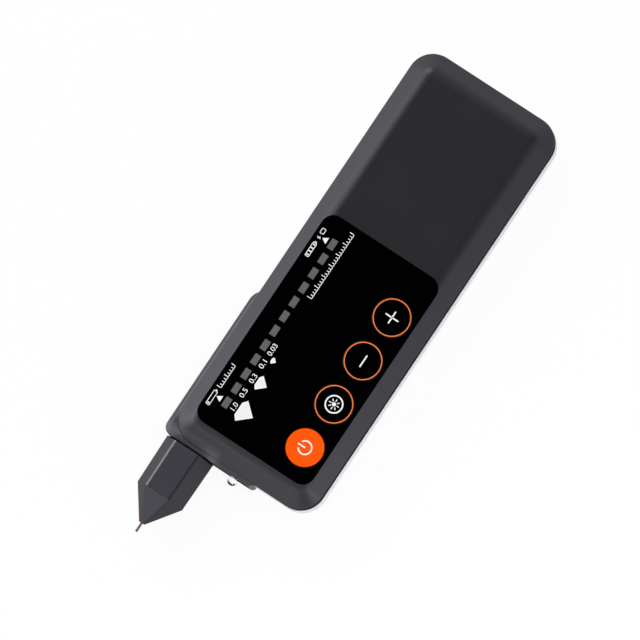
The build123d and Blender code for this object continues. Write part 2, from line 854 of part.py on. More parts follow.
def nose_sleeve():
    tip_radius = nose_corner_radius * nose_tip_across / nose_across_corners
    wide = nose_plane(nose_back_y) * hexagon(nose_across_corners, nose_corner_radius)
    shoulder = nose_plane(nose_cone_y) * hexagon(nose_shoulder_across, nose_corner_radius)
    prism = loft([wide, shoulder])
    tip = nose_plane(nose_tip_y) * hexagon(nose_tip_across, tip_radius)
    cone = loft([shoulder, tip])
    collar = nose_rod(nose_collar_radius, (nose_back_y, housing_low_y))
    spigot = nose_rod(spigot_radius, (nose_back_y, spigot_end_y))
    sleeve = prism + cone + collar + spigot
    sleeve = sleeve - nose_rod(nose_bore_radius, (bore_end_y, spigot_end_y + cut_overrun))
    sleeve = sleeve - nose_rod(shank_bore_radius, (bore_end_y - shank_bore_depth, bore_end_y + cut_overrun))
    point_bore = needle_radius + needle_bore_gap
    return sleeve - nose_rod(point_bore, (nose_tip_y - cut_overrun, bore_end_y))


def nose_nut():
    across_corners = nut_across_flats / math.cos(math.pi / 6)
    nut_end = nut_seat_y + nut_height
    outline = nose_plane(nut_end) * RegularPolygon(across_corners / 2, 6)
    nut = extrude(outline, nut_height)
    return nut - nose_rod(spigot_radius + slide_gap, (nut_seat_y - cut_overrun, nut_end + cut_overrun))


def needle():
    point_y = nose_tip_y - needle_reach
    tip = nose_rod(needle_radius, (point_y, point_y + needle_reach + needle_tip_length))
    tip = fillet(tip.faces().sort_by(Axis.Y)[0].edges(), needle_point_radius)
    shank = nose_rod(shank_radius, (bore_end_y - shank_bore_depth + 2 * needle_travel, carrier_back_y))
    return tip + shank


def needle_carrier():
    carrier = nose_rod(nose_bore_radius - slide_gap, (bore_end_y, carrier_back_y))
    return carrier - nose_rod(shank_radius, (bore_end_y - cut_overrun, carrier_back_y + cut_overrun))


def heater_bead():
    return nose_rod(heater_radius, (carrier_back_y, carrier_back_y + heater_length))


def sensor_bead():
    span = (carrier_back_y + heater_length, carrier_back_y + heater_length + 2 * sensor_radius)
    bead = nose_rod(sensor_radius, span)
    return fillet(bead.faces().sort_by(Axis.Y)[-1].edges(), sensor_radius / 2)


def needle_spring():
    height = spring_room - 2 * spring_wire_radius
    start = (nose_x, carrier_back_y + spring_wire_radius, nose_z)
    path = Helix(height / spring_turns, height, spring_coil_radius, center=start, direction=(0, 1, 0))
    section = Plane(origin=path @ 0, z_dir=path % 0) * Circle(spring_wire_radius)
    return sweep(section, path=path, is_frenet=True)


def spring_seat():
    plug = nose_rod(nose_bore_radius - slide_gap / 2, (seat_front_y, spigot_end_y))
    flange = nose_rod(seat_flange_radius, (spigot_end_y, spigot_end_y + seat_flange_height))
    seat = plug + flange
    bore_span = (seat_front_y - cut_overrun, spigot_end_y + seat_flange_height + cut_overrun)
    return seat - nose_rod(seat_bore_radius, bore_span)


def probe_leads():
    wires = []
    for x_side in (-1, 1):
        for z_side in (-1, 1):
            x = nose_x + x_side * probe_wire_spread
            z = nose_z + z_side * probe_wire_spread
            span = (seat_front_y + probe_wire_start, probe_plug_low_y)
            wires.append(rod(x, z, probe_wire_radius, span))
    return group(wires)


def probe_plug():
    half_plug = probe_plug_width / 2
    half_height = probe_plug_height / 2
    return block(
        (nose_x - half_plug, nose_x + half_plug),
        (probe_plug_low_y, probe_plug_far_y),
        (nose_z - half_height, nose_z + half_height),
    )


def probe_socket():
    half_socket = probe_socket_width / 2
    return block(
        (nose_x - half_socket, nose_x + half_socket),
        (probe_plug_far_y, probe_socket_far_y),
        (board_base - probe_socket_height, board_base),
    )


# Inspection lamp

def inspection_lamp():
    dome_y = housing_low_y - lamp_reach + lamp_radius
    body = rod(lamp_x, lamp_z, lamp_radius, (dome_y, lamp_base_y))
    dome = Pos(lamp_x, dome_y, lamp_z) * Sphere(lamp_radius)
    flange_span = (lamp_base_y - lamp_flange_height, lamp_base_y)
    flange = rod(lamp_x, lamp_z, lamp_flange_radius, flange_span)
    flat_top = lamp_z + lamp_flange_radius + cut_overrun
    flat = block(
        (lamp_x - lamp_flange_radius, lamp_x + lamp_flange_radius),
        flange_span,
        (lamp_z + lamp_flange_radius - lamp_flange_flat, flat_top),
    )
    return body + dome + (flange - flat)


def lamp_legs():
    legs = []
    half_leg = lamp_leg / 2
    for side in (-1, 1):
        x = lamp_x + side * lamp_leg_pitch / 2
        x_span = (x - half_leg, x + half_leg)
        far_y = lamp_landing_y + half_leg
        along = block(x_span, (lamp_base_y, far_y), (lamp_z - half_leg, lamp_z + half_leg))
        leg_top = board_top + lamp_leg_tail
        rise = block(x_span, (far_y - lamp_leg, far_y), (lamp_z - half_leg, leg_top))
        legs.append(along + rise)
    return group(legs)


# Screws

def flat_screw(x, y, length):
    shank_span = (screw_head_sink + screw_head_depth, screw_head_sink + length)
    screw = countersink(x, y, 0) + post(x, y, screw_radius, shank_span)
    return screw - cross_recess(x, y, screw_head_sink, driver_slot_depth)


def case_screws():
    return group([flat_screw(x, y, screw_length) for x, y in case_screw_places])


def housing_screws():
    return group([flat_screw(x, y, short_screw_length) for x, y in housing_screw_places])


def board_screws():
    screws = []
    for x, y in board_screw_places:
        head_base = board_base - board_screw_head_height
        head = post(x, y, board_screw_head_radius, (head_base, board_base))
        shank = post(x, y, board_screw_radius, (board_base, board_base + board_screw_length))
        screws.append(head + shank - cross_recess(x, y, head_base, driver_slot_depth))
    return group(screws)


def charge_board_screws():
    screws = []
    for side in (-1, 1):
        x = side * charge_pillar_x
        head_top = charge_board_top + charge_screw_head_height
        head = post(x, charge_pillar_y, charge_screw_head_radius, (charge_board_top, head_top))
        shank_span = (charge_board_top - charge_screw_length, charge_board_top)
        screws.append(head + post(x, charge_pillar_y, charge_screw_radius, shank_span))
    return group(screws)


# Touch plate

def touch_plate():
    span = (slide_gap, slide_gap + touch_plate_thickness)
    plate_radius = touch_plate_width / 2 - slide_gap
    plate = rounded_slab(0, touch_plate_y, touch_plate_width, touch_plate_length, plate_radius, span)
    return plate + post(0, touch_stud_y, touch_stud_radius, (span[1], span[1] + touch_stud_height))


def contact_pin():
    stud_top = slide_gap + touch_plate_thickness + touch_stud_height
    barrel_base = board_base - contact_barrel_length
    barrel = post(0, touch_stud_y, contact_barrel_radius, (barrel_base, board_base))
    return barrel + post(0, touch_stud_y, contact_tip_radius, (stud_top, barrel_base))


def all_nodes():
    nodes = {
        "front_cover": front_cover(),
        "rear_cover": rear_cover(),
        "probe_housing": probe_housing(),
        "panel_overlay": panel_overlay(),
        "panel_tape": panel_tape(),
        "light_guide": light_guide(),
        "main_board": main_board(),
        "bar_leds": bar_leds(),
        "controller_chip": controller_chip(),
        "amplifier_chip": amplifier_chip(),
        "buzzer": buzzer(),
        "board_passives": board_passives(),
        "battery_cell": battery_cell(),
        "battery_pad": battery_pad(),
        "battery_lead_plus": battery_lead(1),
        "battery_lead_minus": battery_lead(-1),
        "battery_plug": battery_plug(),
        "battery_socket": battery_socket(),
        "charge_board": charge_board(),
        "charge_chip": charge_chip(),
        "charge_leads": charge_leads(),
        "charge_board_screws": charge_board_screws(),
        "usb_socket": usb_socket(),
        "usb_tongue": usb_tongue(),
        "nose_sleeve": nose_sleeve(),
        "nose_nut": nose_nut(),
        "needle": needle(),
        "needle_carrier": needle_carrier(),
        "heater_bead": heater_bead(),
        "sensor_bead": sensor_bead(),
        "needle_spring": needle_spring(),
        "spring_seat": spring_seat(),
        "probe_leads": probe_leads(),
        "probe_plug": probe_plug(),
        "probe_socket": probe_socket(),
        "inspection_lamp": inspection_lamp(),
        "lamp_legs": lamp_legs(),
        "case_screws": case_screws(),
        "housing_screws": housing_screws(),
        "board_screws": board_screws(),
        "touch_plate": touch_plate(),
        "contact_pin": contact_pin(),
    }
    for name, (x, y) in zip(key_names, key_places):
        nodes["key_" + name] = key_cap(x, y)
        nodes["switch_" + name] = key_switch(x, y)
        nodes["plunger_" + name] = key_plunger(x, y)
    return nodes


os.makedirs("parts", exist_ok=True)
for node_name, shape in all_nodes().items():
    export_step(shape, "parts/" + node_name + ".step")
    print(node_name, len(shape.solids()), round(shape.volume, 3))
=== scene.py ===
# %% [markdown]
# # A hand-held gem tester, dressed for the camera
# The tester is a flat case in two halves with a dark block at its probe end, a six-sided nose with
# a copper needle, a glossy panel with four keys and twelve light bars, and a small clear lamp. Its
# shape comes from the imported model, which is loaded here as a frame that stays fixed. This script
# adds finishes, the marks printed on the panel and keys, the metal inside the clear lamp, the
# contacts in the charging port, and a coil in place of the spring.

# %% Load the frame and read the boxes of its parts
import bpy
import json
import math
import numpy as np
from mathutils import Matrix, Vector


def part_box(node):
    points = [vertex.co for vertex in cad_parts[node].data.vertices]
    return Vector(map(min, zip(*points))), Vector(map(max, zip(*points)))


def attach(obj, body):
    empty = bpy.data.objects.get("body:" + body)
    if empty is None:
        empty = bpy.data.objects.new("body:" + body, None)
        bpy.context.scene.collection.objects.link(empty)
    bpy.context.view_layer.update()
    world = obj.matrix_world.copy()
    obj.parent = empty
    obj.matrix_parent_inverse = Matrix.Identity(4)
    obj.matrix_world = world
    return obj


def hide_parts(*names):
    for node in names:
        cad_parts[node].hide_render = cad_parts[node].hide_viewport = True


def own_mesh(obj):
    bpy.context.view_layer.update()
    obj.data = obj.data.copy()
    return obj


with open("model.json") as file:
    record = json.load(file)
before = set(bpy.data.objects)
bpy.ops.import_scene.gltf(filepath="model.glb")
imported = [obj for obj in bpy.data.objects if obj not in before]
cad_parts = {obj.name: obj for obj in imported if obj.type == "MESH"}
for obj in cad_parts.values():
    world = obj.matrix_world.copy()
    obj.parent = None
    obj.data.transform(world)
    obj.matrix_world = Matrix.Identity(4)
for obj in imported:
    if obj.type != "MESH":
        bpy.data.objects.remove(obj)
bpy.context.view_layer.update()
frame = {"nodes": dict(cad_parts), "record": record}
MM = 0.001


# %% [markdown]
# ## The camera
# The photograph looks almost straight down on the keys, from a little to the right and from the
# probe end, and the case runs from lower left to upper right. A long lens far away shows almost no
# perspective, as there. An orthographic camera would show none at all, but a lens is set as on a
# real camera, by its length, its sensor and its distance.

# %% Place the camera
SIDE_TILT = math.radians(9.5)
END_TILT = math.radians(4.0)
CASE_TURN = math.radians(56.2)
PIXELS_ACROSS = 640
PIXELS_PER_MM = 3.378
ORIGIN_PIXEL = np.array([370.60, 287.36])
FACE_HEIGHT = 16.15
LENS_MM = 1000.0
SENSOR_MM = 36.0



def unit(vectors):
    """A vector, or each row of vectors, made one long."""
    return vectors / np.linalg.norm(vectors, axis=-1, keepdims=True)


towards_camera = np.array([
    math.sin(SIDE_TILT) * math.cos(END_TILT),
    -math.sin(END_TILT),
    math.cos(SIDE_TILT) * math.cos(END_TILT),
])
case_axis = np.array([0.0, 1.0, 0.0])
up_flat = unit(case_axis - towards_camera * (case_axis @ towards_camera))
right_flat = np.cross(up_flat, towards_camera)
image_right = math.cos(CASE_TURN) * up_flat + math.sin(CASE_TURN) * right_flat
image_up = math.sin(CASE_TURN) * up_flat - math.cos(CASE_TURN) * right_flat

image_middle = PIXELS_ACROSS / 2
shift_right = (image_middle - ORIGIN_PIXEL[0]) / PIXELS_PER_MM
shift_up = (ORIGIN_PIXEL[1] - image_middle) / PIXELS_PER_MM
face_depth = FACE_HEIGHT * towards_camera[2]
aim = image_right * shift_right + image_up * shift_up + towards_camera * face_depth
view_width = PIXELS_ACROSS / PIXELS_PER_MM
distance = view_width * LENS_MM / SENSOR_MM

camera_data = bpy.data.cameras.new("camera")
camera_data.lens = LENS_MM
camera_data.sensor_width = SENSOR_MM
camera = bpy.data.objects.new("camera", camera_data)
bpy.context.scene.collection.objects.link(camera)
turn = Matrix(np.column_stack([image_right, image_up, towards_camera]).tolist()).to_4x4()
camera.matrix_world = Matrix.Translation(Vector((aim + towards_camera * distance) * MM)) @ turn
bpy.context.scene.camera = camera
print("camera:", round(distance), "mm away,", round(view_width, 1), "mm across the picture")


# %% [markdown]
# ## Writing materials as sums
# A finish is a graph of nodes, and most of its nodes only add and multiply. Here a socket is
# wrapped in a small class, so that `1 - mask` or `grain * 0.2` adds the Math nodes itself.
# Everything else, from noise to the shader, is added by one method that takes the node's type, its
# settings and what goes into its sockets.

# %% Wires and node trees
class Wire:
    """A value on its way through a node tree. Python's own signs add the Math nodes."""

    def __init__(self, nodes, socket):
        self.nodes = nodes
        self.socket = socket

    def math(self, operation, *others):
        """A Math node on this value and the others."""
        inputs = dict(enumerate((self, *others)))
        return self.nodes.wire("ShaderNodeMath", {"operation": operation}, inputs)

    def __add__(self, other):
        return self.math("ADD", other)

    def __mul__(self, other):
        return self.math("MULTIPLY", other)

    def __sub__(self, other):
        return self.math("SUBTRACT", other)

    def __rsub__(self, other):
        return self * -1 + other

    __radd__ = __add__
    __rmul__ = __mul__


class Nodes:
    """A node tree that is being written."""

    def __init__(self, tree):
        self.tree = tree
        tree.nodes.clear()

    def node(self, kind, settings=None, inputs=None):
        """Adds a node, makes its settings, and then gives each named socket its value or wire."""
        made = self.tree.nodes.new(kind)
        for name, value in (settings or {}).items():
            setattr(made, name, value)
        for name, value in (inputs or {}).items():
            if isinstance(value, Wire):
                self.tree.links.new(value.socket, made.inputs[name])
            else:
                made.inputs[name].default_value = value
        return made

    def wire(self, kind, settings=None, inputs=None, output=0):
        """The same, for a node of which one output goes on."""
        return Wire(self, self.node(kind, settings, inputs).outputs[output])


def material_nodes(name):
    """A new material, and its node tree, emptied."""
    made = bpy.data.materials.new(name)
    made.use_nodes = True
    return made, Nodes(made.node_tree)


# %% Noise, ramps, colour mixes and the shader itself
# The Mix node has sockets of the same name for numbers, vectors and colours, so those for colour
# are counted.
MIX_FACTOR, MIX_FIRST, MIX_SECOND, MIX_RESULT = 0, 6, 7, 2


def object_place(nodes, stretch=(1.0, 1.0, 1.0)):
    """The place on the piece, in metres, with each axis multiplied by its stretch."""
    place = nodes.wire("ShaderNodeTexCoord", output="Object")
    return nodes.wire("ShaderNodeMapping", {}, {"Vector": place, "Scale": stretch})


def noise(nodes, size_mm, detail=2.0, stretch=(1.0, 1.0, 1.0)):
    """Noise with lumps of about size_mm, read from the piece's own place, from 0 to 1."""
    inputs = {"Vector": object_place(nodes, stretch), "Scale": 1 / (size_mm * MM), "Detail": detail}
    return nodes.wire("ShaderNodeTexNoise", {}, inputs)


def parts(nodes, vector):
    """A vector's x, y and z."""
    split = nodes.node("ShaderNodeSeparateXYZ", {}, {"Vector": vector})
    return [Wire(nodes, split.outputs[axis]) for axis in "XYZ"]


def ramp(nodes, value, start, end):
    """0 up to start, 1 from end, and straight in between."""
    return nodes.wire("ShaderNodeMapRange", {}, {"Value": value, "From Min": start, "From Max": end})


def colour_mix(nodes, amount, first, second):
    """first where amount is 0, second where it is 1."""
    inputs = {MIX_FACTOR: amount, MIX_FIRST: first, MIX_SECOND: second}
    return nodes.wire("ShaderNodeMix", {"data_type": "RGBA"}, inputs, MIX_RESULT)


def tinted(colour, share=0.0):
    """The colour made lighter or darker by a share, with a full alpha."""
    return (*[min(1.0, part * (1 + share)) for part in colour], 1.0)


def drifting(nodes, amount, colour, darker, lighter):
    """The colour, darker by one share where amount is 0 and lighter by the other where it is 1."""
    return colour_mix(nodes, amount, tinted(colour, -darker), tinted(colour, lighter))


def dent(nodes, height, depth_mm):
    """Bump from a height between 0 and 1, depth_mm deep."""
    return nodes.wire("ShaderNodeBump", {}, {"Height": height, "Distance": depth_mm * MM}, "Normal")


def shade(nodes, inputs):
    """The shader and the material's output."""
    shader = nodes.wire("ShaderNodeBsdfPrincipled", {}, inputs)
    nodes.node("ShaderNodeOutputMaterial", {}, {"Surface": shader})


# %% [markdown]
# ## Light and ground
# The photograph is a catalogue picture: white ground, soft light from the upper left, and a dark
# sky above, which is why the panel looks black and the case's flat face dark while its bevels catch
# the light. A sky that is pale at its rim and dark overhead does the same. It is weaker towards the
# probe end.
#
# One large lamp can't do the rest, because each bevel faces its own way and mirrors only what
# stands there. So there are six soft boxes. The key box lights from the upper left. The top box
# also lights, but would show in the panel, so it is kept out of the gloss. The left box is a card
# that only shows in the left bevel, since its light would bleach the white cover. The other three
# stand where the right bevel, the bevel at the probe end and the flat face mirror them.

# %% Sky
RIM_LIGHT = 0.84
RIM_TINT = (1.0, 0.985, 1.10)
TOP_LIGHT = 0.004
TOP_TINT = (1.0, 1.0, 1.05)
PALE_UP_TO = 0.40
DARK_FROM = 0.85
NEAR_SHARE = 0.65
NEAR_UP_TO = -0.9
FULL_FROM = -0.1

world = bpy.data.worlds.new("studio_sky")
bpy.context.scene.world = world
world.use_nodes = True
sky = Nodes(world.node_tree)
_, ray_y, ray_z = parts(sky, sky.wire("ShaderNodeTexCoord", output="Generated"))
climb = ramp(sky, ray_z, PALE_UP_TO, DARK_FROM)
rim = (*[RIM_LIGHT * part for part in RIM_TINT], 1.0)
top = (*[TOP_LIGHT * part for part in TOP_TINT], 1.0)
strength = NEAR_SHARE + ramp(sky, ray_y, NEAR_UP_TO, FULL_FROM) * (1 - NEAR_SHARE)
sky_colour = colour_mix(sky, climb, rim, top)
background = sky.wire("ShaderNodeBackground", {}, {"Color": sky_colour, "Strength": strength})
sky.node("ShaderNodeOutputWorld", {}, {"Surface": background})
print("sky:", RIM_LIGHT, "at its rim and", TOP_LIGHT, "overhead")


# %% Lamps
def soft_box(name, direction, away, width, length, brightness, lights=True, shows=True):
    """A rectangular lamp, in metres, that faces the case. Its power is brightness times its area
    times pi. One that only shows is a card, seen in gloss. One that only lights is kept out of the
    gloss."""
    data = bpy.data.lights.new(name, "AREA")
    data.shape = "RECTANGLE"
    data.size = width
    data.size_y = length
    data.energy = brightness * width * length * math.pi
    lamp = bpy.data.objects.new(name, data)
    bpy.context.scene.collection.objects.link(lamp)
    lamp.visible_camera = False
    lamp.visible_diffuse = lights
    lamp.visible_glossy = shows
    place = Vector(direction).normalized() * away
    lamp.matrix_world = Matrix.Translation(place) @ place.to_track_quat("Z", "Y").to_matrix().to_4x4()
    print("lamp", name, "power", round(data.energy, 2))


soft_box("left_soft_box", (-0.92, -0.32, 0.30), 0.7, 0.60, 0.28, 4.2, lights=False)
soft_box("key_soft_box", (-0.66, 0.40, 0.62), 1.5, 0.9, 0.7, 4.5)
soft_box("top_soft_box", (0.0, 0.0, 1.0), 1.2, 0.8, 0.8, 2.6, shows=False)
soft_box("right_soft_box", (0.30, -0.10, 0.13), 0.34, 0.07, 0.22, 4.2)
soft_box("near_soft_box", (0.0, -0.42, 0.22), 0.50, 0.50, 0.22, 1.4)
soft_box("high_soft_box", (0.60, 0.10, 0.85), 1.3, 0.6, 1.1, 0.35)

# %% [markdown]
# ## The ground
# The ground is a white sweep of paper. Rather than flood it with light, which would bleach the case
# too, its finish glows towards the camera, and towards what gloss and clear plastic mirror. The
# rest of it takes light as paper does, so it keeps the soft shadow. It lies a fiftieth of a
# millimetre below the case, because two faces in one plane flicker.

# %% Ground
GROUND_SIZE = 8.0
GROUND_DROP = 0.02 * MM
GROUND_CLOUD_MM = 60.0
GROUND_DARK = (0.93, 0.93, 0.93, 1.0)
GROUND_PALE = (0.96, 0.96, 0.96, 1.0)
SEEN_WHITE_SHARE = 0.92
SEEN_BY = ("Is Camera Ray", "Is Glossy Ray", "Is Transmission Ray")

half_ground = GROUND_SIZE / 2
ground_mesh = bpy.data.meshes.new("ground")
ways = ((-1, -1), (1, -1), (1, 1), (-1, 1))
corners = [(x * half_ground, y * half_ground, -GROUND_DROP) for x, y in ways]
ground_mesh.from_pydata(corners, [], [(0, 1, 2, 3)])
ground = bpy.data.objects.new("ground", ground_mesh)
bpy.context.scene.collection.objects.link(ground)

ground_paint, nodes = material_nodes("ground_paint")
cloud = noise(nodes, GROUND_CLOUD_MM, detail=3.0)
ground_colour = colour_mix(nodes, cloud, GROUND_DARK, GROUND_PALE)
lit = nodes.wire("ShaderNodeBsdfDiffuse", {}, {"Color": ground_colour})
white = nodes.wire("ShaderNodeEmission", {}, {"Color": (1.0, 1.0, 1.0, 1.0), "Strength": 1.0})
path = nodes.node("ShaderNodeLightPath")
seen = sum(Wire(nodes, path.outputs[kind]) for kind in SEEN_BY)
amount = seen.math("MINIMUM", 1.0) * SEEN_WHITE_SHARE
both = nodes.wire("ShaderNodeMixShader", {}, {0: amount, 1: lit, 2: white})
nodes.node("ShaderNodeOutputMaterial", {}, {"Surface": both})
ground_mesh.materials.append(ground_paint)
print("ground:", GROUND_SIZE, "m wide,", SEEN_WHITE_SHARE, "of white where it is seen")


# %% [markdown]
# ## Moulded plastic
# The case halves, the probe block and the nose are injection moulded. Such a surface has a fine
# grain from the spark-eroded mould, and its gloss and colour drift a little from place to place,
# with the flow of the plastic. An image of grain would show its edges on the curved sides, so noise
# in the part's own millimetres gives the grain as bump and roughness, and slower noise gives the
# drift.

# %% A finish for moulded plastic
SLOW_MM = 16.0


def moulded(name, colour, roughness, grain_mm=0.22, depth_mm=0.004, drift=0.05, level=0.5, tint=1.0,
            zones=()):
    """Grain g and slow drift s, both noise, with the colour's shift 0.7 s + 0.3 g and the roughness
    r + 0.10 (s - 1/2) + 0.08 (g - 1/2). Each zone gives where a part of the piece differs, with its
    colour, its extra roughness and its shine."""
    made, nodes = material_nodes(name)
    slow = noise(nodes, SLOW_MM, detail=3.0)
    grain = noise(nodes, grain_mm)
    shift = slow * 0.7 + grain * 0.3
    rough = roughness + (slow - 0.5) * 0.10 + (grain - 0.5) * 0.08
    inputs = {
        "Base Color": drifting(nodes, shift, colour, drift, drift),
        "Roughness": rough,
        "Specular IOR Level": level,
        "Specular Tint": (tint, tint, 1.0, 1.0),
        "Normal": dent(nodes, grain, depth_mm),
    }
    shader = nodes.wire("ShaderNodeBsdfPrincipled", {}, inputs)
    for where, zone_colour, extra_rough, zone_level in zones:
        zone_inputs = {
            **inputs,
            "Base Color": drifting(nodes, shift, zone_colour, drift, drift),
            "Roughness": rough + extra_rough,
            "Specular IOR Level": zone_level,
        }
        zone_shader = nodes.wire("ShaderNodeBsdfPrincipled", {}, zone_inputs)
        shader = nodes.wire("ShaderNodeMixShader", {}, {0: where(nodes), 1: shader, 2: zone_shader})
    nodes.node("ShaderNodeOutputMaterial", {}, {"Surface": shader})
    return made


# %% [markdown]
# ## Gloss and ink
# The panel is a sheet of hard-coated acrylic: black, smooth, and never quite clean. The keys are
# the same sheet in small discs. The power key is orange inside a circle, which could be a slot of
# its own, but a colour that depends on the distance from the key's middle needs no cut in the mesh.
# Marks are screen printed, so they are slightly thick, and matt.

# %% Finishes for the panel
SHEET_BLACK = (0.0003, 0.0003, 0.0004)
DISC_EDGE = 0.04
SMUDGE_MM = 7.0
DUST_MM = 0.35
SCREEN_MM = 0.12


def rise(nodes, value, start, end):
    """0 up to start and 1 from end, both in millimetres."""
    return ramp(nodes, value, start * MM, end * MM)


def axes(nodes):
    """The place on the piece as x, y and z."""
    return parts(nodes, object_place(nodes))


def glossy(name, colour, roughness, level=0.5, drift=0.03, disc=None):
    """Gloss with faint smudges: roughness = r + 0.05 m^2, where m is slow noise. A disc (x, y,
    radius) has the colour inside its circle, sqrt(u^2 + v^2) < radius, and the sheet's black
    outside."""
    made, nodes = material_nodes(name)
    smudge = noise(nodes, SMUDGE_MM, detail=4.0, stretch=(1.0, 0.45, 1.0))
    dust = noise(nodes, DUST_MM)
    base = drifting(nodes, smudge * 0.5 + dust * 0.5, colour, drift, drift)
    if disc:
        middle_x, middle_y, radius = disc
        x, y, _ = axes(nodes)
        u, v = x - middle_x * MM, y - middle_y * MM
        away = (u * u + v * v).math("SQRT")
        outside = rise(nodes, away, radius - DISC_EDGE, radius + DISC_EDGE)
        base = colour_mix(nodes, outside, base, tinted(SHEET_BLACK))
    shade(nodes, {
        "Base Color": base,
        "Specular IOR Level": level,
        "Roughness": roughness + smudge * smudge * 0.05,
        "Normal": dent(nodes, smudge, depth_mm=0.0006),
    })
    return made


def inked(name, colour):
    """Screen print: matt, with the mesh of the screen as a very small bump."""
    made, nodes = material_nodes(name)
    cover = noise(nodes, SCREEN_MM)
    shade(nodes, {
        "Base Color": drifting(nodes, cover, colour, 0.04, 0.02),
        "Roughness": 0.42 + (cover - 0.5) * 0.12,
        "Normal": dent(nodes, cover, depth_mm=0.0008),
    })
    return made


# %% [markdown]
# ## Metal, wire, boards and foil
# Little of this shows at rest, but the part can be opened, so the inner pieces get their own
# finishes: drawn copper with faint lines along the needle, zinc-plated screws, green boards with
# lighter tracks and a crinkled foil cell. The lines of drawn metal could be scratches in a picture,
# but noise that is drawn out along the piece gives them at any size. Wires, chips and plugs are
# moulded too, with the finish from above.

# %% Finishes for metal and for what is inside
STAIN_MM = 2.5
RIPPLE_MM = 1.4
TRACK_FIELD_MM = 9.0
TRACKS = 14.0
WEAVE_MM = 0.5
FOLD_MM = 5.0


def metal(name, colour, roughness, line_mm, stretch, depth_mm=0.0015):
    """Metal with lines: noise squeezed across them and drawn out along them changes gloss, tone and
    bump."""
    made, nodes = material_nodes(name)
    lines = noise(nodes, line_mm, detail=3.0, stretch=stretch)
    stain = noise(nodes, STAIN_MM)
    shade(nodes, {
        "Base Color": drifting(nodes, lines * 0.6 + stain * 0.4, colour, 0.14, 0.12),
        "Metallic": 1.0,
        "Roughness": roughness + (lines - 0.5) * 0.16 + (stain - 0.5) * 0.08,
        "Normal": dent(nodes, lines, depth_mm),
    })
    return made


def clear(name, colour, roughness, index):
    """Clear plastic or glass, with the slight unevenness of a casting."""
    made, nodes = material_nodes(name)
    ripple = noise(nodes, RIPPLE_MM)
    shade(nodes, {
        "Base Color": drifting(nodes, ripple, colour, 0.02, 0.0),
        "Roughness": roughness + ripple * 0.02,
        "IOR": index,
        "Transmission Weight": 1.0,
        "Normal": dent(nodes, ripple, depth_mm=0.0015),
    })
    return made


def board(name, mask, track):
    """Solder mask over tracks. The tracks are slightly raised and lighter, and run where the
    fraction of 14 times a slow noise is between 0.42 and 0.68, with soft sides."""
    made, nodes = material_nodes(name)
    field = noise(nodes, TRACK_FIELD_MM, detail=0.0, stretch=(1.0, 0.4, 1.0))
    band = (field * TRACKS).math("FRACT")
    line = ramp(nodes, band, 0.42, 0.5) * (1 - ramp(nodes, band, 0.6, 0.68))
    weave = noise(nodes, WEAVE_MM)
    base = colour_mix(nodes, line * 0.8 + weave * 0.15, tinted(mask), tinted(track))
    shade(nodes, {
        "Base Color": base,
        "Roughness": 0.34 + (weave - 0.5) * 0.1,
        "Normal": dent(nodes, line, depth_mm=0.02),
    })
    return made


def foil(name, colour):
    """Pouch foil: soft folds as bump over a bright, slightly rough metal."""
    made, nodes = material_nodes(name)
    folds = noise(nodes, FOLD_MM, detail=5.0)
    shade(nodes, {
        "Base Color": drifting(nodes, folds, colour, 0.1, 0.05),
        "Metallic": 0.85,
        "Roughness": 0.32 + (folds - 0.5) * 0.2,
        "Normal": dent(nodes, folds, depth_mm=0.12),
    })
    return made


# %% [markdown]
# ## Which piece wears what
# Each node of the model keeps its shape and gets a finish in its own material slot. The flat face
# of the front half reads darker in the photograph than the probe block and the nose, so these have
# paints of their own, mixed from the same dark plastic.
#
# Parts of a piece differ too, such as an upright wall, a rubbed edge or a shaded rim. Many of
# these zones are painted light and shade: lighter colours for painted light and a painted
# highlight, darker ones for painted shade. The mesh could be cut into more slots, but its facets
# don't end there. So a zone is a number between 0 and 1, worked out from the place on the piece,
# and it mixes two shaders, with a short fade from one to the other.

# %% Where the case and the probe block differ
WALL_TOP_Z = (12.25, 12.45)
HOUSING_WALL_TOP_Z = (10.35, 10.65)
SHOULDER_START_Y = (-64.0, -63.0)
SHOULDER_END_Y = (-61.6, -61.2)
SHOULDER_END_X = (18.5, 20.5)
BESIDE_NOSE_Y = (-68.4, -65.6)
BESIDE_NOSE_Z = (10.0, 10.6)
CASE_CORNER = 7.8
SEAM_EDGE_END = (0.15, 0.60)
SEAM_EDGE_Y = (-68.0, -62.0)


def in_mm(box):
    """The two corners of a box in millimetres."""
    return [corner / MM for corner in box]


nose_low, nose_high = in_mm(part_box("nose_sleeve"))
housing_low, housing_high = in_mm(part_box("probe_housing"))
case_high = in_mm(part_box("front_cover"))[1]
beside_nose_x = (nose_high.x - 0.5, nose_high.x + 2.5)
lamp_bevel_x = (housing_high.x - 1.5, housing_high.x - 1.0)
print("case:", 2 * round(case_high.x, 2), "x", 2 * round(case_high.y, 2), "mm")


def fall(nodes, value, start, end):
    """1 up to start and 0 from end, both in millimetres."""
    return 1 - rise(nodes, value, start, end)


def shaded_case_wall(nodes):
    """The cover's upright wall, below its crease, where the zone's darker colour is painted shade."""
    return fall(nodes, axes(nodes)[2], *WALL_TOP_Z)


def shaded_housing_wall(nodes):
    """The housing's upright wall, below its slope, but not at the bevelled corner next to the
    lamp. The zone's darker colour there is painted shade."""
    x, _, z = axes(nodes)
    return fall(nodes, z, *HOUSING_WALL_TOP_Z) * fall(nodes, x, *lamp_bevel_x)


def painted_light_shoulder(nodes):
    """The cover's narrow round between the panel and the bevel at the probe end, where the zone's
    lighter colour is painted light.
    """
    x, y, _ = axes(nodes)
    along = rise(nodes, y, *SHOULDER_START_Y) * fall(nodes, y, *SHOULDER_END_Y)
    return along * fall(nodes, x.math("ABSOLUTE"), *SHOULDER_END_X)


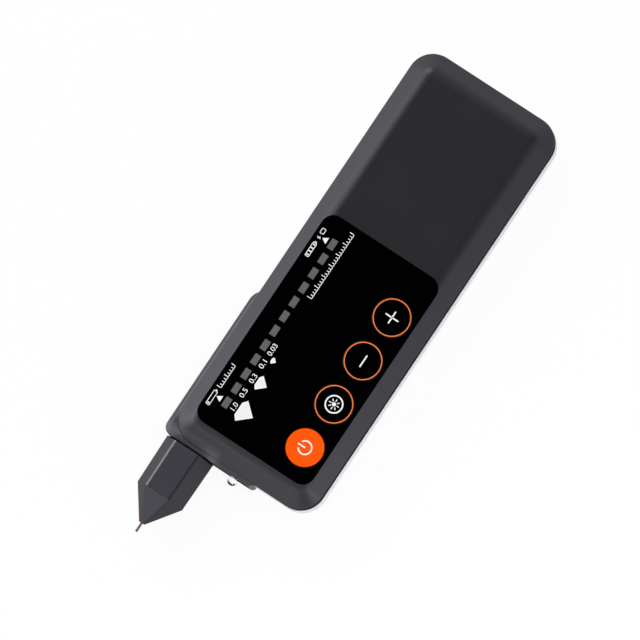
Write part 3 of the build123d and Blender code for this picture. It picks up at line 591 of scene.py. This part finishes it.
def painted_light_beside_nose(nodes):
    """The edge of the case next to the nose, whose shine would only show the nose's own back. The
    zone's lighter, matt colour there is painted light, in place of that reflection.
    """
    x, y, z = axes(nodes)
    beside = fall(nodes, x, *beside_nose_x) * rise(nodes, z, *BESIDE_NOSE_Z)
    return beside * fall(nodes, y, *BESIDE_NOSE_Y)


def seam_highlight(nodes):
    """The housing's edge along the case, where the zone's lighter colour is a painted highlight:
    1 close to the case's outline, which is sqrt(u^2 + v^2) - r away, with u and v how far a point
    is past the middles of the corners. It fades at the nose."""
    x, y, _ = axes(nodes)
    u, v = (
        (value.math("ABSOLUTE") - (half - CASE_CORNER) * MM).math("MAXIMUM", 0.0)
        for value, half in zip((x, y), case_high)
    )
    away = (u * u + v * v).math("SQRT") - CASE_CORNER * MM
    return fall(nodes, away, *SEAM_EDGE_END) * rise(nodes, y, *SEAM_EDGE_Y)


# %% Where the nose differs
CONE_LENGTH = 9.7
NOSE_GAP = 0.3
SIXTH_TURN = math.pi / 3
EDGE_CORE_SHARE = 0.6
CONE_SIDE_FADE = 0.08

nose_middle = (nose_low + nose_high) / 2
cone_start = nose_low.y + CONE_LENGTH
straight_y = (cone_start, cone_start + 0.15)
cone_y = (cone_start - 0.1, cone_start)
root_y = (housing_low.y - NOSE_GAP - 0.40, housing_low.y - NOSE_GAP - 0.30)
print("nose: its cone ends at y =", round(cone_start, 2), "mm")


def past_edge(nodes, side):
    """How far a point is past the nose's upper edge on that side, u sin 60 - w cos 60, with u and w
    the distances from the nose's middle line to that side and upwards."""
    x, _, z = axes(nodes)
    u = (x - nose_middle.x * MM) * side
    w = z - nose_middle.z * MM
    return u * math.sin(SIXTH_TURN) - w * math.cos(SIXTH_TURN)


def nose_edge(side, half_width):
    """An upper edge of the nose's straight part, out to half_width on both sides of it. The left
    edge is made glossier, and on the right the zone's darker colour is painted shade.
    """
    def where(nodes):
        _, y, z = axes(nodes)
        off = past_edge(nodes, side).math("ABSOLUTE")
        upper = rise(nodes, z - nose_middle.z * MM, 0.0, 1.0)
        near = fall(nodes, off, half_width * EDGE_CORE_SHARE, half_width)
        return near * upper * rise(nodes, y, *straight_y)
    return where


def nose_cone(nodes):
    """The nose's pointed part, where the zone's lighter colour is painted light."""
    return fall(nodes, axes(nodes)[1], *cone_y)


def shaded_cone_side(side):
    """The pointed part past its upper edge on that side, where the zone's darker colour is painted
    shade.
    """
    def where(nodes):
        return nose_cone(nodes) * rise(nodes, past_edge(nodes, side), 0.0, CONE_SIDE_FADE)
    return where


def nose_root(nodes):
    """The rim that the housing shades: the nose's last third of a millimetre."""
    return rise(nodes, axes(nodes)[1], *root_y)


# %% Find the middles of the keys
key_middle = {}
for name in ("power", "lamp", "minus", "plus"):
    low, high = in_mm(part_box("key_" + name))
    key_middle[name] = np.array((low + high) / 2)[:2]
    print(name, "key at", key_middle[name].round(2), "mm")

# %% Mix the paints
POWER_DISC = 5.77

paints = {
    # The case: painted light on the shoulder by the panel and on the matt edge beside the nose, and
    # painted shade on the upright wall, which also shines less.
    "case_dark": moulded("case_dark", (0.0114, 0.0112, 0.0121), 0.42, level=0.57, tint=0.88,
                         zones=[(painted_light_shoulder, (0.024, 0.023, 0.026), 0.0, 0.57),
                                (painted_light_beside_nose, (0.108, 0.105, 0.119), 0.0, 0.08),
                                (shaded_case_wall, (0.008, 0.007, 0.010), 0.4, 0.02)]),
    # The probe block: a painted highlight along its edge by the case, painted light beside the nose,
    # and painted shade on its upright wall, which also shines less.
    "probe_dark": moulded("probe_dark", (0.041, 0.040, 0.047), 0.46, level=0.35, tint=0.94,
                          zones=[(seam_highlight, (0.130, 0.128, 0.138), 0.0, 0.35),
                                 (painted_light_beside_nose, (0.135, 0.131, 0.147), 0.0, 0.08),
                                 (shaded_housing_wall, (0.018, 0.017, 0.021), 0.4, 0.02)]),
    # The nose: a glossier left edge, painted shade on the right edge, painted light on the cone,
    # painted shade on its two sides, and painted shade at the root.
    "nose_dark": moulded("nose_dark", (0.045, 0.043, 0.051), 0.48, grain_mm=0.16, depth_mm=0.002,
                         level=0.08,
                         zones=[(nose_edge(-1, 0.95), (0.045, 0.043, 0.051), -0.24, 0.85),
                                (nose_edge(1, 0.45), (0.022, 0.021, 0.026), 0.0, 0.08),
                                (nose_cone, (0.070, 0.0665, 0.077), 0.0, 0.05),
                                (shaded_cone_side(-1), (0.054, 0.051, 0.059), 0.0, 0.05),
                                (shaded_cone_side(1), (0.0415, 0.0395, 0.046), 0.0, 0.05),
                                (nose_root, (0.004, 0.004, 0.005), 0.3, 0.02)]),
    "case_white": moulded("case_white", (0.70, 0.70, 0.71), 0.36, depth_mm=0.003, drift=0.02),
    "panel_black": glossy("panel_black", SHEET_BLACK, 0.08),
    "key_black": glossy("key_black", SHEET_BLACK, 0.09),
    "key_orange": glossy("key_orange", (0.95, 0.094, 0.001), 0.26, level=0.12,
                         disc=(*key_middle["power"], POWER_DISC)),
    "bar_smoke": moulded("bar_smoke", (0.105, 0.105, 0.106), 0.48, grain_mm=0.1, depth_mm=0.001),
    "tape_black": moulded("tape_black", (0.02, 0.02, 0.02), 0.7, grain_mm=0.4),
    "board_green": board("board_green", (0.008, 0.075, 0.028), (0.02, 0.17, 0.06)),
    "chip_black": moulded("chip_black", (0.017, 0.017, 0.018), 0.55, grain_mm=0.12),
    "diode_cream": moulded("diode_cream", (0.75, 0.70, 0.42), 0.4, grain_mm=0.3),
    "switch_black": moulded("switch_black", (0.02, 0.02, 0.02), 0.45),
    "chip_tan": moulded("chip_tan", (0.35, 0.24, 0.15), 0.5, grain_mm=0.3, drift=0.12),
    "cell_foil": foil("cell_foil", (0.62, 0.63, 0.65)),
    "foam_grey": moulded("foam_grey", (0.16, 0.16, 0.17), 0.9, grain_mm=0.5, depth_mm=0.15, drift=0.2),
    "wire_red": moulded("wire_red", (0.55, 0.01, 0.01), 0.45, grain_mm=0.3),
    "wire_black": moulded("wire_black", (0.012, 0.012, 0.012), 0.45, grain_mm=0.3),
    "nylon_white": moulded("nylon_white", (0.78, 0.76, 0.70), 0.42, drift=0.03),
    "screw_steel": metal("screw_steel", (0.45, 0.45, 0.46), 0.32, 0.12, (1.0, 1.0, 0.3)),
    "port_steel": metal("port_steel", (0.60, 0.60, 0.62), 0.28, 0.10, (1.0, 0.12, 1.0)),
    "plate_steel": metal("plate_steel", (0.62, 0.61, 0.60), 0.34, 0.07, (1.0, 0.03, 1.0)),
    "copper": metal("copper", (0.21, 0.112, 0.075), 0.36, 0.06, (1.0, 0.10, 1.0)),
    "turned_white": moulded("turned_white", (0.82, 0.81, 0.78), 0.5, grain_mm=0.12, drift=0.03),
    "bead_glass": clear("bead_glass", (0.85, 0.55, 0.30), 0.05, 1.52),
    "lamp_epoxy": clear("lamp_epoxy", (0.97, 0.98, 1.0), 0.03, 1.53),
}
print(len(paints), "paints mixed")

# %% Dress the pieces of the model
paint_of_slot = {
    "white_shell": "case_white",
    "gloss_black": "panel_black",
    "tape": "tape_black",
    "led_cream": "diode_cream",
    "passive_tan": "chip_tan",
    "battery_foil": "cell_foil",
    "connector_white": "nylon_white",
    "white_insulator": "turned_white",
    "glass_bead": "bead_glass",
    "lamp_clear": "lamp_epoxy",
    "touch_steel": "plate_steel",
}
paint_of_node = {
    "front_cover": "case_dark",
    "probe_housing": "probe_dark",
    "nose_sleeve": "nose_dark",
}

for row in frame["record"]["subparts"]:
    node, slot = row["node"], row["material_slot"]
    paint = paints[paint_of_node.get(node) or paint_of_slot.get(slot, slot)]
    worn = frame["nodes"][node]
    worn.data.materials.clear()
    worn.data.materials.append(paint)


# %% [markdown]
# ## Shapes from arrays
# The printed marks are real layers of ink, a fiftieth of a millimetre thick, and not pictures: a
# mark that is a solid stays sharp close up, and it goes with its key when that is pressed. Each
# shape is worked out as an array of points and an array of faces. An enclosed shape has a signed
# volume, and where that comes out negative the faces are turned round, so that all of them look
# outwards.

# %% Points and faces
INK_FOOT = -0.01
INK_TOP = 0.02


def grid_faces(rows, columns, rows_close=False):
    """Four-sided faces of a grid whose points are counted row by row, and whose rows are closed
    rings."""
    row_numbers = np.arange(rows if rows_close else rows - 1)
    row, column = np.meshgrid(row_numbers, np.arange(columns), indexing="ij")
    next_row, next_column = (row + 1) % rows, (column + 1) % columns
    corners = [
        row * columns + column,
        row * columns + next_column,
        next_row * columns + next_column,
        next_row * columns + column,
    ]
    return np.stack(corners, axis=-1).reshape(-1, 4).tolist()


def outward(points, faces):
    """Turns the faces round where the volume, the sum of a.(b x c)/6 over the triangles, is
    negative."""
    triangles = np.array([(f[0], f[i], f[i + 1]) for f in faces for i in range(1, len(f) - 1)])
    a, b, c = (points[triangles[:, i]] for i in range(3))
    volume = np.einsum("ij,ij->i", a, np.cross(b, c)).sum() / 6
    return points, [face[::-1] for face in faces] if volume < 0 else faces


def joined(shapes):
    """Several shapes as one, with the faces' numbers moved on."""
    starts = np.cumsum([0] + [len(points) for points, _ in shapes])
    faces = [[i + start for i in face] for start, (_, shape) in zip(starts, shapes) for face in shape]
    return np.concatenate([points for points, _ in shapes]), faces


def piece(name, shape, paint, body, smooth=False):
    """An object at the origin whose mesh holds the shape, in metres, where it belongs."""
    points, faces = shape
    mesh = bpy.data.meshes.new(name)
    mesh.from_pydata((points * MM).tolist(), [], faces)
    mesh.polygons.foreach_set("use_smooth", [smooth] * len(faces))
    mesh.materials.append(paint)
    made = bpy.data.objects.new(name, mesh)
    bpy.context.scene.collection.objects.link(made)
    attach(made, body)
    print(name, len(points), "points on", body)
    return made


# %% Lines, plates and discs of ink
CAP_STEPS = 7
CAP_ANGLE = 0.47 * math.pi
ROUND_STEPS = 96


def stroke(path, width, z, closed=False):
    """A line drawn by a round pen. Each point p of the path, with normal n, has the four corners p
    + h n and p - h n at the ink's foot and top, where h is half the width. Past an open end at
    angle a the pen leaves p + h sin(a) t, with t the path's direction there, and half the width is
    h cos(a)."""
    path = np.asarray(path, float)
    pen = width / 2
    half = np.full(len(path), pen)
    if closed:
        along = np.roll(path, -1, axis=0) - np.roll(path, 1, axis=0)
    else:
        angle = np.linspace(0.0, CAP_ANGLE, CAP_STEPS)[1:, None]
        start_cap = (path[0] + pen * np.sin(angle) * unit(path[0] - path[1]))[::-1]
        end_cap = path[-1] + pen * np.sin(angle) * unit(path[-1] - path[-2])
        cap_half = pen * np.cos(angle[:, 0])
        path = np.concatenate([start_cap, path, end_cap])
        half = np.concatenate([cap_half[::-1], half, cap_half])
        along = np.gradient(path, axis=0)
    side = unit(np.stack([-along[:, 1], along[:, 0]], axis=1)) * half[:, None]
    corners = [(path + side, z + INK_FOOT), (path + side, z + INK_TOP)]
    corners += [(path - side, z + INK_TOP), (path - side, z + INK_FOOT)]
    points = np.stack([np.column_stack([p, np.full(len(p), level)]) for p, level in corners], axis=1)
    faces = grid_faces(len(path), 4, rows_close=closed)
    if not closed:
        end = 4 * (len(path) - 1)
        faces += [[3, 2, 1, 0], [end, end + 1, end + 2, end + 3]]
    return outward(points.reshape(-1, 3), faces)


def plate(outline, z, top=INK_TOP):
    """A flat shape filled from its middle: the outline at the ink's foot and top, and a point in
    each."""
    outline = np.asarray(outline, float)
    count = len(outline)
    middle = outline.mean(axis=0)
    rings = [np.column_stack([outline, np.full(count, level)]) for level in (z + INK_FOOT, z + top)]
    points = np.concatenate([*rings, [[*middle, z + INK_FOOT], [*middle, z + top]]])
    faces = grid_faces(2, count)
    faces += [[(i + 1) % count, i, 2 * count] for i in range(count)]
    faces += [[count + i, count + (i + 1) % count, 2 * count + 1] for i in range(count)]
    return outward(points, faces)


def circle(x, y, radius, start=0.0, sweep=2 * math.pi, steps=ROUND_STEPS, ends=False):
    """Points at (x + r cos a, y + r sin a), for a from start over sweep."""
    angle = start + np.linspace(0.0, sweep, steps, endpoint=ends)
    return np.column_stack([x + radius * np.cos(angle), y + radius * np.sin(angle)])


def ring(x, y, radius, width, z):
    """A circle drawn by the pen."""
    return stroke(circle(x, y, radius), width, z, closed=True)


# %% [markdown]
# ## Numbers on the scale
# The scale has plain numbers beside its first five bars. Drawing digits by hand is slow and looks
# it, so the text tool makes them, they become a mesh, and the points are then stretched to the size
# and place of each. All marks read along the case, with their tops to its left side.

# %% Digits as meshes
TEXT_DEPTH = 0.5
TEXT_STEPS = 5
WELD_DECIMALS = 5


def digits(text, x_span, y_span, z):
    """The text's own x runs along +Y of the case and its own y along -X, scaled to fill both
    spans."""
    curve = bpy.data.curves.new("digits", "FONT")
    curve.body = text
    curve.extrude = TEXT_DEPTH
    curve.resolution_u = TEXT_STEPS
    writer = bpy.data.objects.new("digits", curve)
    bpy.context.scene.collection.objects.link(writer)
    bpy.context.view_layer.update()
    mesh = bpy.data.meshes.new_from_object(writer)
    own = np.empty(len(mesh.vertices) * 3)
    mesh.vertices.foreach_get("co", own)
    own = own.reshape(-1, 3)
    faces = [list(face.vertices) for face in mesh.polygons]
    bpy.data.objects.remove(writer)
    bpy.data.curves.remove(curve)
    bpy.data.meshes.remove(mesh)
    own, back = np.unique(own.round(WELD_DECIMALS), axis=0, return_inverse=True)
    faces = [[int(back.ravel()[i]) for i in face] for face in faces]
    faces = [face for face in faces if len(set(face)) == len(face)]
    share = (own - own.min(axis=0)) / (own.max(axis=0) - own.min(axis=0))
    points = np.column_stack([
        x_span[1] + (x_span[0] - x_span[1]) * share[:, 1],
        y_span[0] + (y_span[1] - y_span[0]) * share[:, 0],
        z + INK_FOOT + (INK_TOP - INK_FOOT) * share[:, 2],
    ])
    return outward(points, faces)


# %% The numbers beside the bars
# Each number has its width along the case, and how far it stands ahead of its bar.
BAR_COUNT = 12
LED_LENGTH = 2.0
DIGIT_X = (-12.20, -10.58)
NUMBERS = {
    "1.0": (2.3, 0.3),
    "0.5": (2.8, 0.0),
    "0.3": (2.8, 0.0),
    "0.1": (2.6, 0.0),
    "0.03": (3.8, 0.0),
}

panel_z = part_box("panel_overlay")[1].z / MM
bars_low, bars_high = in_mm(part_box("bar_leds"))
bar_y = np.linspace(bars_low.y + LED_LENGTH / 2, bars_high.y - LED_LENGTH / 2, BAR_COUNT)

ink_white = inked("ink_white", (0.94, 0.94, 0.93))
numbers = []
for (text, (width, ahead)), y in zip(NUMBERS.items(), bar_y):
    numbers.append(digits(text, DIGIT_X, (y + ahead - width / 2, y + ahead + width / 2), panel_z))
piece("scale_numbers", joined(numbers), ink_white, "root")

# %% [markdown]
# ## Gem signs, arrows and battery signs
# Beside the numbers stand three gem outlines, large to small, which say how large a stone each
# setting is for. Two small arrows point from the first and last bar to signs for a low and a
# charging battery, and two ruled lines run beside the bars. All are drawn with the pen and the
# plate from above, because lines of real ink keep one width, and a picture of them would blur close
# up.

# %% Gem signs
GEM_RIM = 0.40
GEM_RIM_TOP = 0.012
GEM_TRIM = 0.14

# For each gem: where it stands along the case, half the widths of its table and girdle, and the x
# of table, girdle and point.
GEM_SIGNS = [
    (-52.73, 2.21, 3.67, -10.10, -8.83, -4.68),
    (-42.92, 1.50, 2.56, -10.04, -9.17, -6.31),
    (-35.25, 0.63, 1.24, -10.05, -9.50, -8.18),
]


def gem_outline(y, table, girdle, table_x, girdle_x, point_x, inset):
    """Table, girdle and point of a cut stone seen from the side, with each corner moved inwards by
    inset."""
    corners = np.array([
        (table_x, y - table),
        (table_x, y + table),
        (girdle_x, y + girdle),
        (point_x, y),
        (girdle_x, y - girdle),
    ])
    return corners + unit(corners.mean(axis=0) - corners) * inset


rims, fills = [], []
for sign in GEM_SIGNS:
    rims.append(plate(gem_outline(*sign, GEM_TRIM), panel_z, GEM_RIM_TOP))
    fills.append(plate(gem_outline(*sign, GEM_TRIM + GEM_RIM), panel_z))
ink_pale = inked("ink_pale", (0.86, 0.86, 0.85))
piece("gem_rims", joined(rims), ink_white, "root")
piece("gem_fills", joined(fills), ink_pale, "root")

# %% Arrows, frames and batteries
SIGN_X = (-19.25, -17.85)
SIGN_MIDDLE_X = sum(SIGN_X) / 2
LINE_WIDTH = 0.22
ARROW_X = (-17.60, -15.86)
ARROW_HALF = 1.04
FRAME_CORNER = 0.2
FRAME_STEPS = 8
BATTERY_LENGTH = 4.59
BATTERY_CELLS = 4
NUB_AWAY = 0.36
NUB_HALF = 0.2
NUB_WIDTH = 0.3
CELL_INSET = 0.5
CELL_WIDTH = 0.42


def arrow(y):
    """A triangle whose point is on the side of the signs."""
    return plate([(ARROW_X[0], y), (ARROW_X[1], y + ARROW_HALF), (ARROW_X[1], y - ARROW_HALF)], panel_z)


def level_line(x_span, y, width):
    """A line across the case."""
    return stroke([(x_span[0], y), (x_span[1], y)], width, panel_z)


def frame_sign(y_start, y_end):
    """A frame as high as the signs: four quarter circles, each about the inner middle of a
    corner."""
    quarter = math.pi / 2
    x_ends = (SIGN_X[0] + LINE_WIDTH / 2, SIGN_X[1] - LINE_WIDTH / 2)
    arcs = []
    for turns, (x_way, y_way) in enumerate([(1, 1), (-1, 1), (-1, -1), (1, -1)]):
        x = x_ends[x_way > 0] - FRAME_CORNER * x_way
        y = (y_start, y_end)[y_way > 0] - FRAME_CORNER * y_way
        arcs.append(circle(x, y, FRAME_CORNER, turns * quarter, quarter, FRAME_STEPS, ends=True))
    return stroke(np.concatenate(arcs), LINE_WIDTH, panel_z, closed=True)


def battery_sign(y_start, cells):
    """A frame, the battery's contact as a nub at its end, and some of its four cells."""
    y_end = y_start + BATTERY_LENGTH
    nub_x = (SIGN_MIDDLE_X - NUB_HALF, SIGN_MIDDLE_X + NUB_HALF)
    cell_x = (SIGN_X[0] + CELL_INSET, SIGN_X[1] - CELL_INSET)
    shapes = [frame_sign(y_start, y_end), level_line(nub_x, y_end + NUB_AWAY, NUB_WIDTH)]
    for i in range(cells):
        y = y_start + (y_end - y_start) / BATTERY_CELLS * (i + 0.5)
        shapes.append(level_line(cell_x, y, CELL_WIDTH))
    return shapes


# %% Ruled lines, the flash, and all signs together
SHORT_MARK_SHARE = 0.55
TALL_EVERY = 4
BOLT_SHARES = [(-1.0, 0.35), (-0.1, -0.75), (-0.12, -0.12), (1.0, -0.35), (0.1, 0.75), (0.12, 0.12)]
LOW_BATTERY_Y = -56.59
LOW_RULE_Y = (-50.4, -42.6)
CHARGED_BATTERY_Y = -3.69
BOLT_Y = 2.9
CHARGER_Y = (4.31, 5.9)
SCALE_RULE_X = (-11.55, -10.1)
SCALE_RULE_Y = (-13.6, 9.2)


def ruled_line(x_span, y_span, marks):
    """A base line with upright marks, every fourth of them tall."""
    foot = x_span[1]
    shapes = [stroke([(foot, y_span[0]), (foot, y_span[1])], LINE_WIDTH, panel_z)]
    for i, y in enumerate(np.linspace(*y_span, marks)):
        share = SHORT_MARK_SHARE if i % TALL_EVERY else 1.0
        shapes.append(level_line((foot, foot - (foot - x_span[0]) * share), y, LINE_WIDTH))
    return shapes


def bolt_sign(y):
    """A flash that leans, filled from its middle."""
    tall = (SIGN_X[1] - SIGN_X[0]) / 2
    return plate([(SIGN_MIDDLE_X + u * tall, y + v * tall) for u, v in BOLT_SHARES], panel_z)


signs = [arrow(bar_y[0]), arrow(bar_y[-1])]
signs += battery_sign(LOW_BATTERY_Y, cells=1)
signs += ruled_line(SIGN_X, LOW_RULE_Y, marks=9)
signs += battery_sign(CHARGED_BATTERY_Y, cells=4)
signs += [bolt_sign(BOLT_Y), frame_sign(*CHARGER_Y)]
signs += ruled_line(SCALE_RULE_X, SCALE_RULE_Y, marks=25)
piece("panel_signs", joined(signs), ink_white, "root")

# %% [markdown]
# ## Signs on the keys
# Power is a solid orange key with the usual broken ring. The others are black with an orange ring:
# a shining lamp, minus and plus. Each sign rides with its key, so it goes down when the key is
# pressed. A sign could be part of the key's own finish, but as a piece it keeps its own slot and
# can be changed for another.

# %% Rings round the black keys
RING_RADIUS = 5.60
RING_WIDTH = 0.33

key_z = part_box("key_power")[1].z / MM
ink_orange = inked("ink_orange", (0.92, 0.205, 0.038))
for name in ("lamp", "minus", "plus"):
    rings = ring(*key_middle[name], RING_RADIUS, RING_WIDTH, key_z)
    piece("ring_" + name, rings, ink_orange, name + "_key")

# %% Power and lamp signs
SIGN_WIDTH = 0.44
POWER_RADIUS = 2.02
POWER_GAP = math.radians(36)
POWER_BAR_X = (-2.3, -0.1)
LAMP_RADIUS = 2.60
LAMP_DOT = 0.62
LAMP_RAYS = 8
LAMP_RAY_SPAN = (1.05, 1.6)
LAMP_RAY_WIDTH = 0.3

x, y = key_middle["power"]
broken = circle(x, y, POWER_RADIUS, math.pi + POWER_GAP, 2 * (math.pi - POWER_GAP), ends=True)
bar = [(x + end, y) for end in POWER_BAR_X]
power_sign = [stroke(broken, SIGN_WIDTH, key_z), stroke(bar, SIGN_WIDTH, key_z)]
piece("sign_power", joined(power_sign), ink_white, "power_key")

x, y = key_middle["lamp"]
lamp_sign = [ring(x, y, LAMP_RADIUS, SIGN_WIDTH, key_z), plate(circle(x, y, LAMP_DOT), key_z)]
for angle in np.arange(LAMP_RAYS) * 2 * math.pi / LAMP_RAYS:
    ray_line = [(x + math.cos(angle) * reach, y + math.sin(angle) * reach) for reach in LAMP_RAY_SPAN]
    lamp_sign.append(stroke(ray_line, LAMP_RAY_WIDTH, key_z))
piece("sign_lamp", joined(lamp_sign), ink_white, "lamp_key")

# %% Minus and plus signs
# Each stroke's two ends, from the middle of the key. The arms of the plus start inside its long
# stroke.
STRAIGHT_SIGNS = {
    "minus": [[(0.15, -1.85), (0.15, 1.85)]],
    "plus": [[(0.0, -1.9), (0.0, 1.9)], [(-2.1, 0.0), (-0.2, 0.0)], [(0.2, 0.0), (2.1, 0.0)]],
}

for name, lines in STRAIGHT_SIGNS.items():
    strokes = [stroke(key_middle[name] + np.array(line), SIGN_WIDTH, key_z) for line in lines]
    piece("sign_" + name, joined(strokes), ink_white, name + "_key")

# %% [markdown]
# ## Inside the clear lamp
# The lamp is a 3 mm diode cast in clear epoxy, and its metal shows through: a post with a small cup
# that holds the chip, and a second post beside it. All of it is turned about lines along the case.
# A Screw modifier could spin a profile too, but here one function gives closed shapes whose faces
# point outwards.

# %% Turned shapes
TURN_STEPS = 40


def turned(profile, x, z):
    """Spins points (r, y) about the line through (x, z) along Y: x + r cos a, y, z + r sin a. The
    first and last point are on the line, and each is kept once."""
    profile = np.asarray(profile, float)
    angle = np.linspace(0.0, 2 * math.pi, TURN_STEPS, endpoint=False)
    radius, y = profile[1:-1, 0][:, None], profile[1:-1, 1][:, None]
    body = np.stack([
        x + radius * np.cos(angle),
        y + 0 * angle,
        z + radius * np.sin(angle),
    ], axis=-1).reshape(-1, 3)
    ends = np.array([[x, profile[0, 1], z], [x, profile[-1, 1], z]])
    faces = grid_faces(len(profile) - 2, TURN_STEPS)
    first, last = len(body), len(body) + 1
    start = len(body) - TURN_STEPS
    faces += [[(i + 1) % TURN_STEPS, i, first] for i in range(TURN_STEPS)]
    faces += [[start + i, start + (i + 1) % TURN_STEPS, last] for i in range(TURN_STEPS)]
    return outward(np.concatenate([body, ends]), faces)


# %% Cup, posts and chip of the lamp
# Each profile gives radii, and how far past the cup's rim each is reached.
CUP_SETBACK = 2.4
POST_SETBACK = 0.05
CUP_POST_X = -0.45
SECOND_POST_X = 0.62
CUP_POST = [
    (0.0, 0.28), (0.26, 0.28), (0.46, 0.0), (0.54, 0.0), (0.54, 0.55), (0.30, 0.75), (0.22, 1.0),
]
SECOND_POST = [(0.0, 0.15), (0.20, 0.18), (0.24, 0.9), (0.18, 1.2)]
CHIP = [(0.0, 0.14), (0.13, 0.14), (0.13, 0.30), (0.0, 0.30)]

lamp_low, lamp_high = in_mm(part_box("inspection_lamp"))
lamp_x = (lamp_low.x + lamp_high.x) / 2
lamp_z = lamp_low.z + (lamp_high.x - lamp_low.x) / 2
cup_y = lamp_low.y + CUP_SETBACK
post_end = lamp_high.y - POST_SETBACK


def post(profile, x):
    """A post that starts with the profile and goes on, as thick as that ends, to the foot of the
    lamp."""
    points = [(radius, cup_y + y) for radius, y in profile]
    return turned(points + [(profile[-1][0], post_end), (0.0, post_end)], lamp_x + x, lamp_z)


posts = joined([post(CUP_POST, CUP_POST_X), post(SECOND_POST, SECOND_POST_X)])
piece("lamp_posts", posts, paints["port_steel"], "root")
chip = turned([(radius, cup_y + y) for radius, y in CHIP], lamp_x + CUP_POST_X, lamp_z)
piece("lamp_chip", chip, paints["diode_cream"], "root")

# %% [markdown]
# ## Contacts in the charging port
# A reversible charging port has twelve flat contacts on each face of its tongue. A stripe in the
# tongue's finish would do from afar, but they stand out a little, so they are small slabs: a unit
# box is scaled and set down in a row, above and below.

# %% Contacts on the tongue
CONTACTS = 12
CONTACT_PITCH = 0.5
CONTACT_WIDTH = 0.25
CONTACT_PROUD = 0.02
CONTACT_LENGTH_SHARE = 0.62
CONTACT_SETBACK = 0.45

UNIT_BOX = np.array([(x, y, z) for x in (-0.5, 0.5) for y in (-0.5, 0.5) for z in (-0.5, 0.5)])
BOX_FACES = [[0, 1, 3, 2], [4, 6, 7, 5], [0, 4, 5, 1], [2, 3, 7, 6], [0, 2, 6, 4], [1, 5, 7, 3]]


def slab(middle, size):
    """The unit box times a size, moved to a middle."""
    return outward(UNIT_BOX * np.asarray(size) + np.asarray(middle), BOX_FACES)


tongue_low, tongue_high = in_mm(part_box("usb_tongue"))
contact_length = (tongue_high.y - tongue_low.y) * CONTACT_LENGTH_SHARE
contact_y = tongue_high.y - CONTACT_SETBACK - contact_length / 2
contact_size = (CONTACT_WIDTH, contact_length, 2 * CONTACT_PROUD)
contacts = []
for i in range(CONTACTS):
    x = (i - (CONTACTS - 1) / 2) * CONTACT_PITCH
    contacts += [slab((x, contact_y, z), contact_size) for z in (tongue_low.z, tongue_high.z)]
contact_gold = metal("contact_gold", (0.80, 0.56, 0.22), 0.25, 0.08, (1.0, 0.1, 1.0))
piece("port_contacts", joined(contacts), contact_gold, "root")

# %% [markdown]
# ## The needle's spring
# The spring gets shorter as the needle is pushed back, which a rigid solid can't do. So it is drawn
# again as a coil of the same size, which stands for the hidden solid and has a mesh of its own.

# %% A coil for the spring
SPRING_TURNS = 7
WIRE_RADIUS = 0.17
TURN_POINTS = 24
WIRE_POINTS = 10


def coil(start, height, radius):
    """A tube round the path (x + R cos t, y + h t / T, z + R sin t), with t from 0 to T. Its
    section is the circle of points w (N cos a + B sin a), with N away from the axis and B square to
    N and to the path."""
    whole_turn = 2 * math.pi * SPRING_TURNS
    t = np.linspace(0.0, whole_turn, SPRING_TURNS * TURN_POINTS + 1)
    climb_rate = height / whole_turn
    away = np.stack([np.cos(t), 0 * t, np.sin(t)], axis=1)
    path = np.asarray(start) + radius * away + np.outer(climb_rate * t, (0.0, 1.0, 0.0))
    along = np.stack([-radius * np.sin(t), 0 * t + climb_rate, radius * np.cos(t)], axis=1)
    across = np.cross(unit(along), away)
    a = np.linspace(0.0, 2 * math.pi, WIRE_POINTS, endpoint=False)[None, :, None]
    points = path[:, None] + WIRE_RADIUS * (np.cos(a) * away[:, None] + np.sin(a) * across[:, None])
    faces = grid_faces(len(t), WIRE_POINTS)
    last = WIRE_POINTS * (len(t) - 1)
    faces += [list(range(WIRE_POINTS))[::-1], [last + i for i in range(WIRE_POINTS)]]
    return outward(points.reshape(-1, 3), faces)


spring_low, spring_high = in_mm(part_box("needle_spring"))
spring_middle = (spring_low + spring_high) / 2
spring_length = spring_high.y - spring_low.y
coil_start = (spring_middle.x, spring_low.y + WIRE_RADIUS, spring_middle.z)
coil_radius = (spring_high.x - spring_low.x) / 2 - WIRE_RADIUS
turns_of_wire = coil(coil_start, spring_length - 2 * WIRE_RADIUS, coil_radius)
spring = piece("needle_coil", turns_of_wire, paints["screw_steel"], "root", smooth=True)
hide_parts("needle_spring")
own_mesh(spring)

# %% [markdown]
# ## Finish
# The last line sets the view transform to Standard.

# %% Finish
bpy.context.scene.view_settings.view_transform = "Standard"
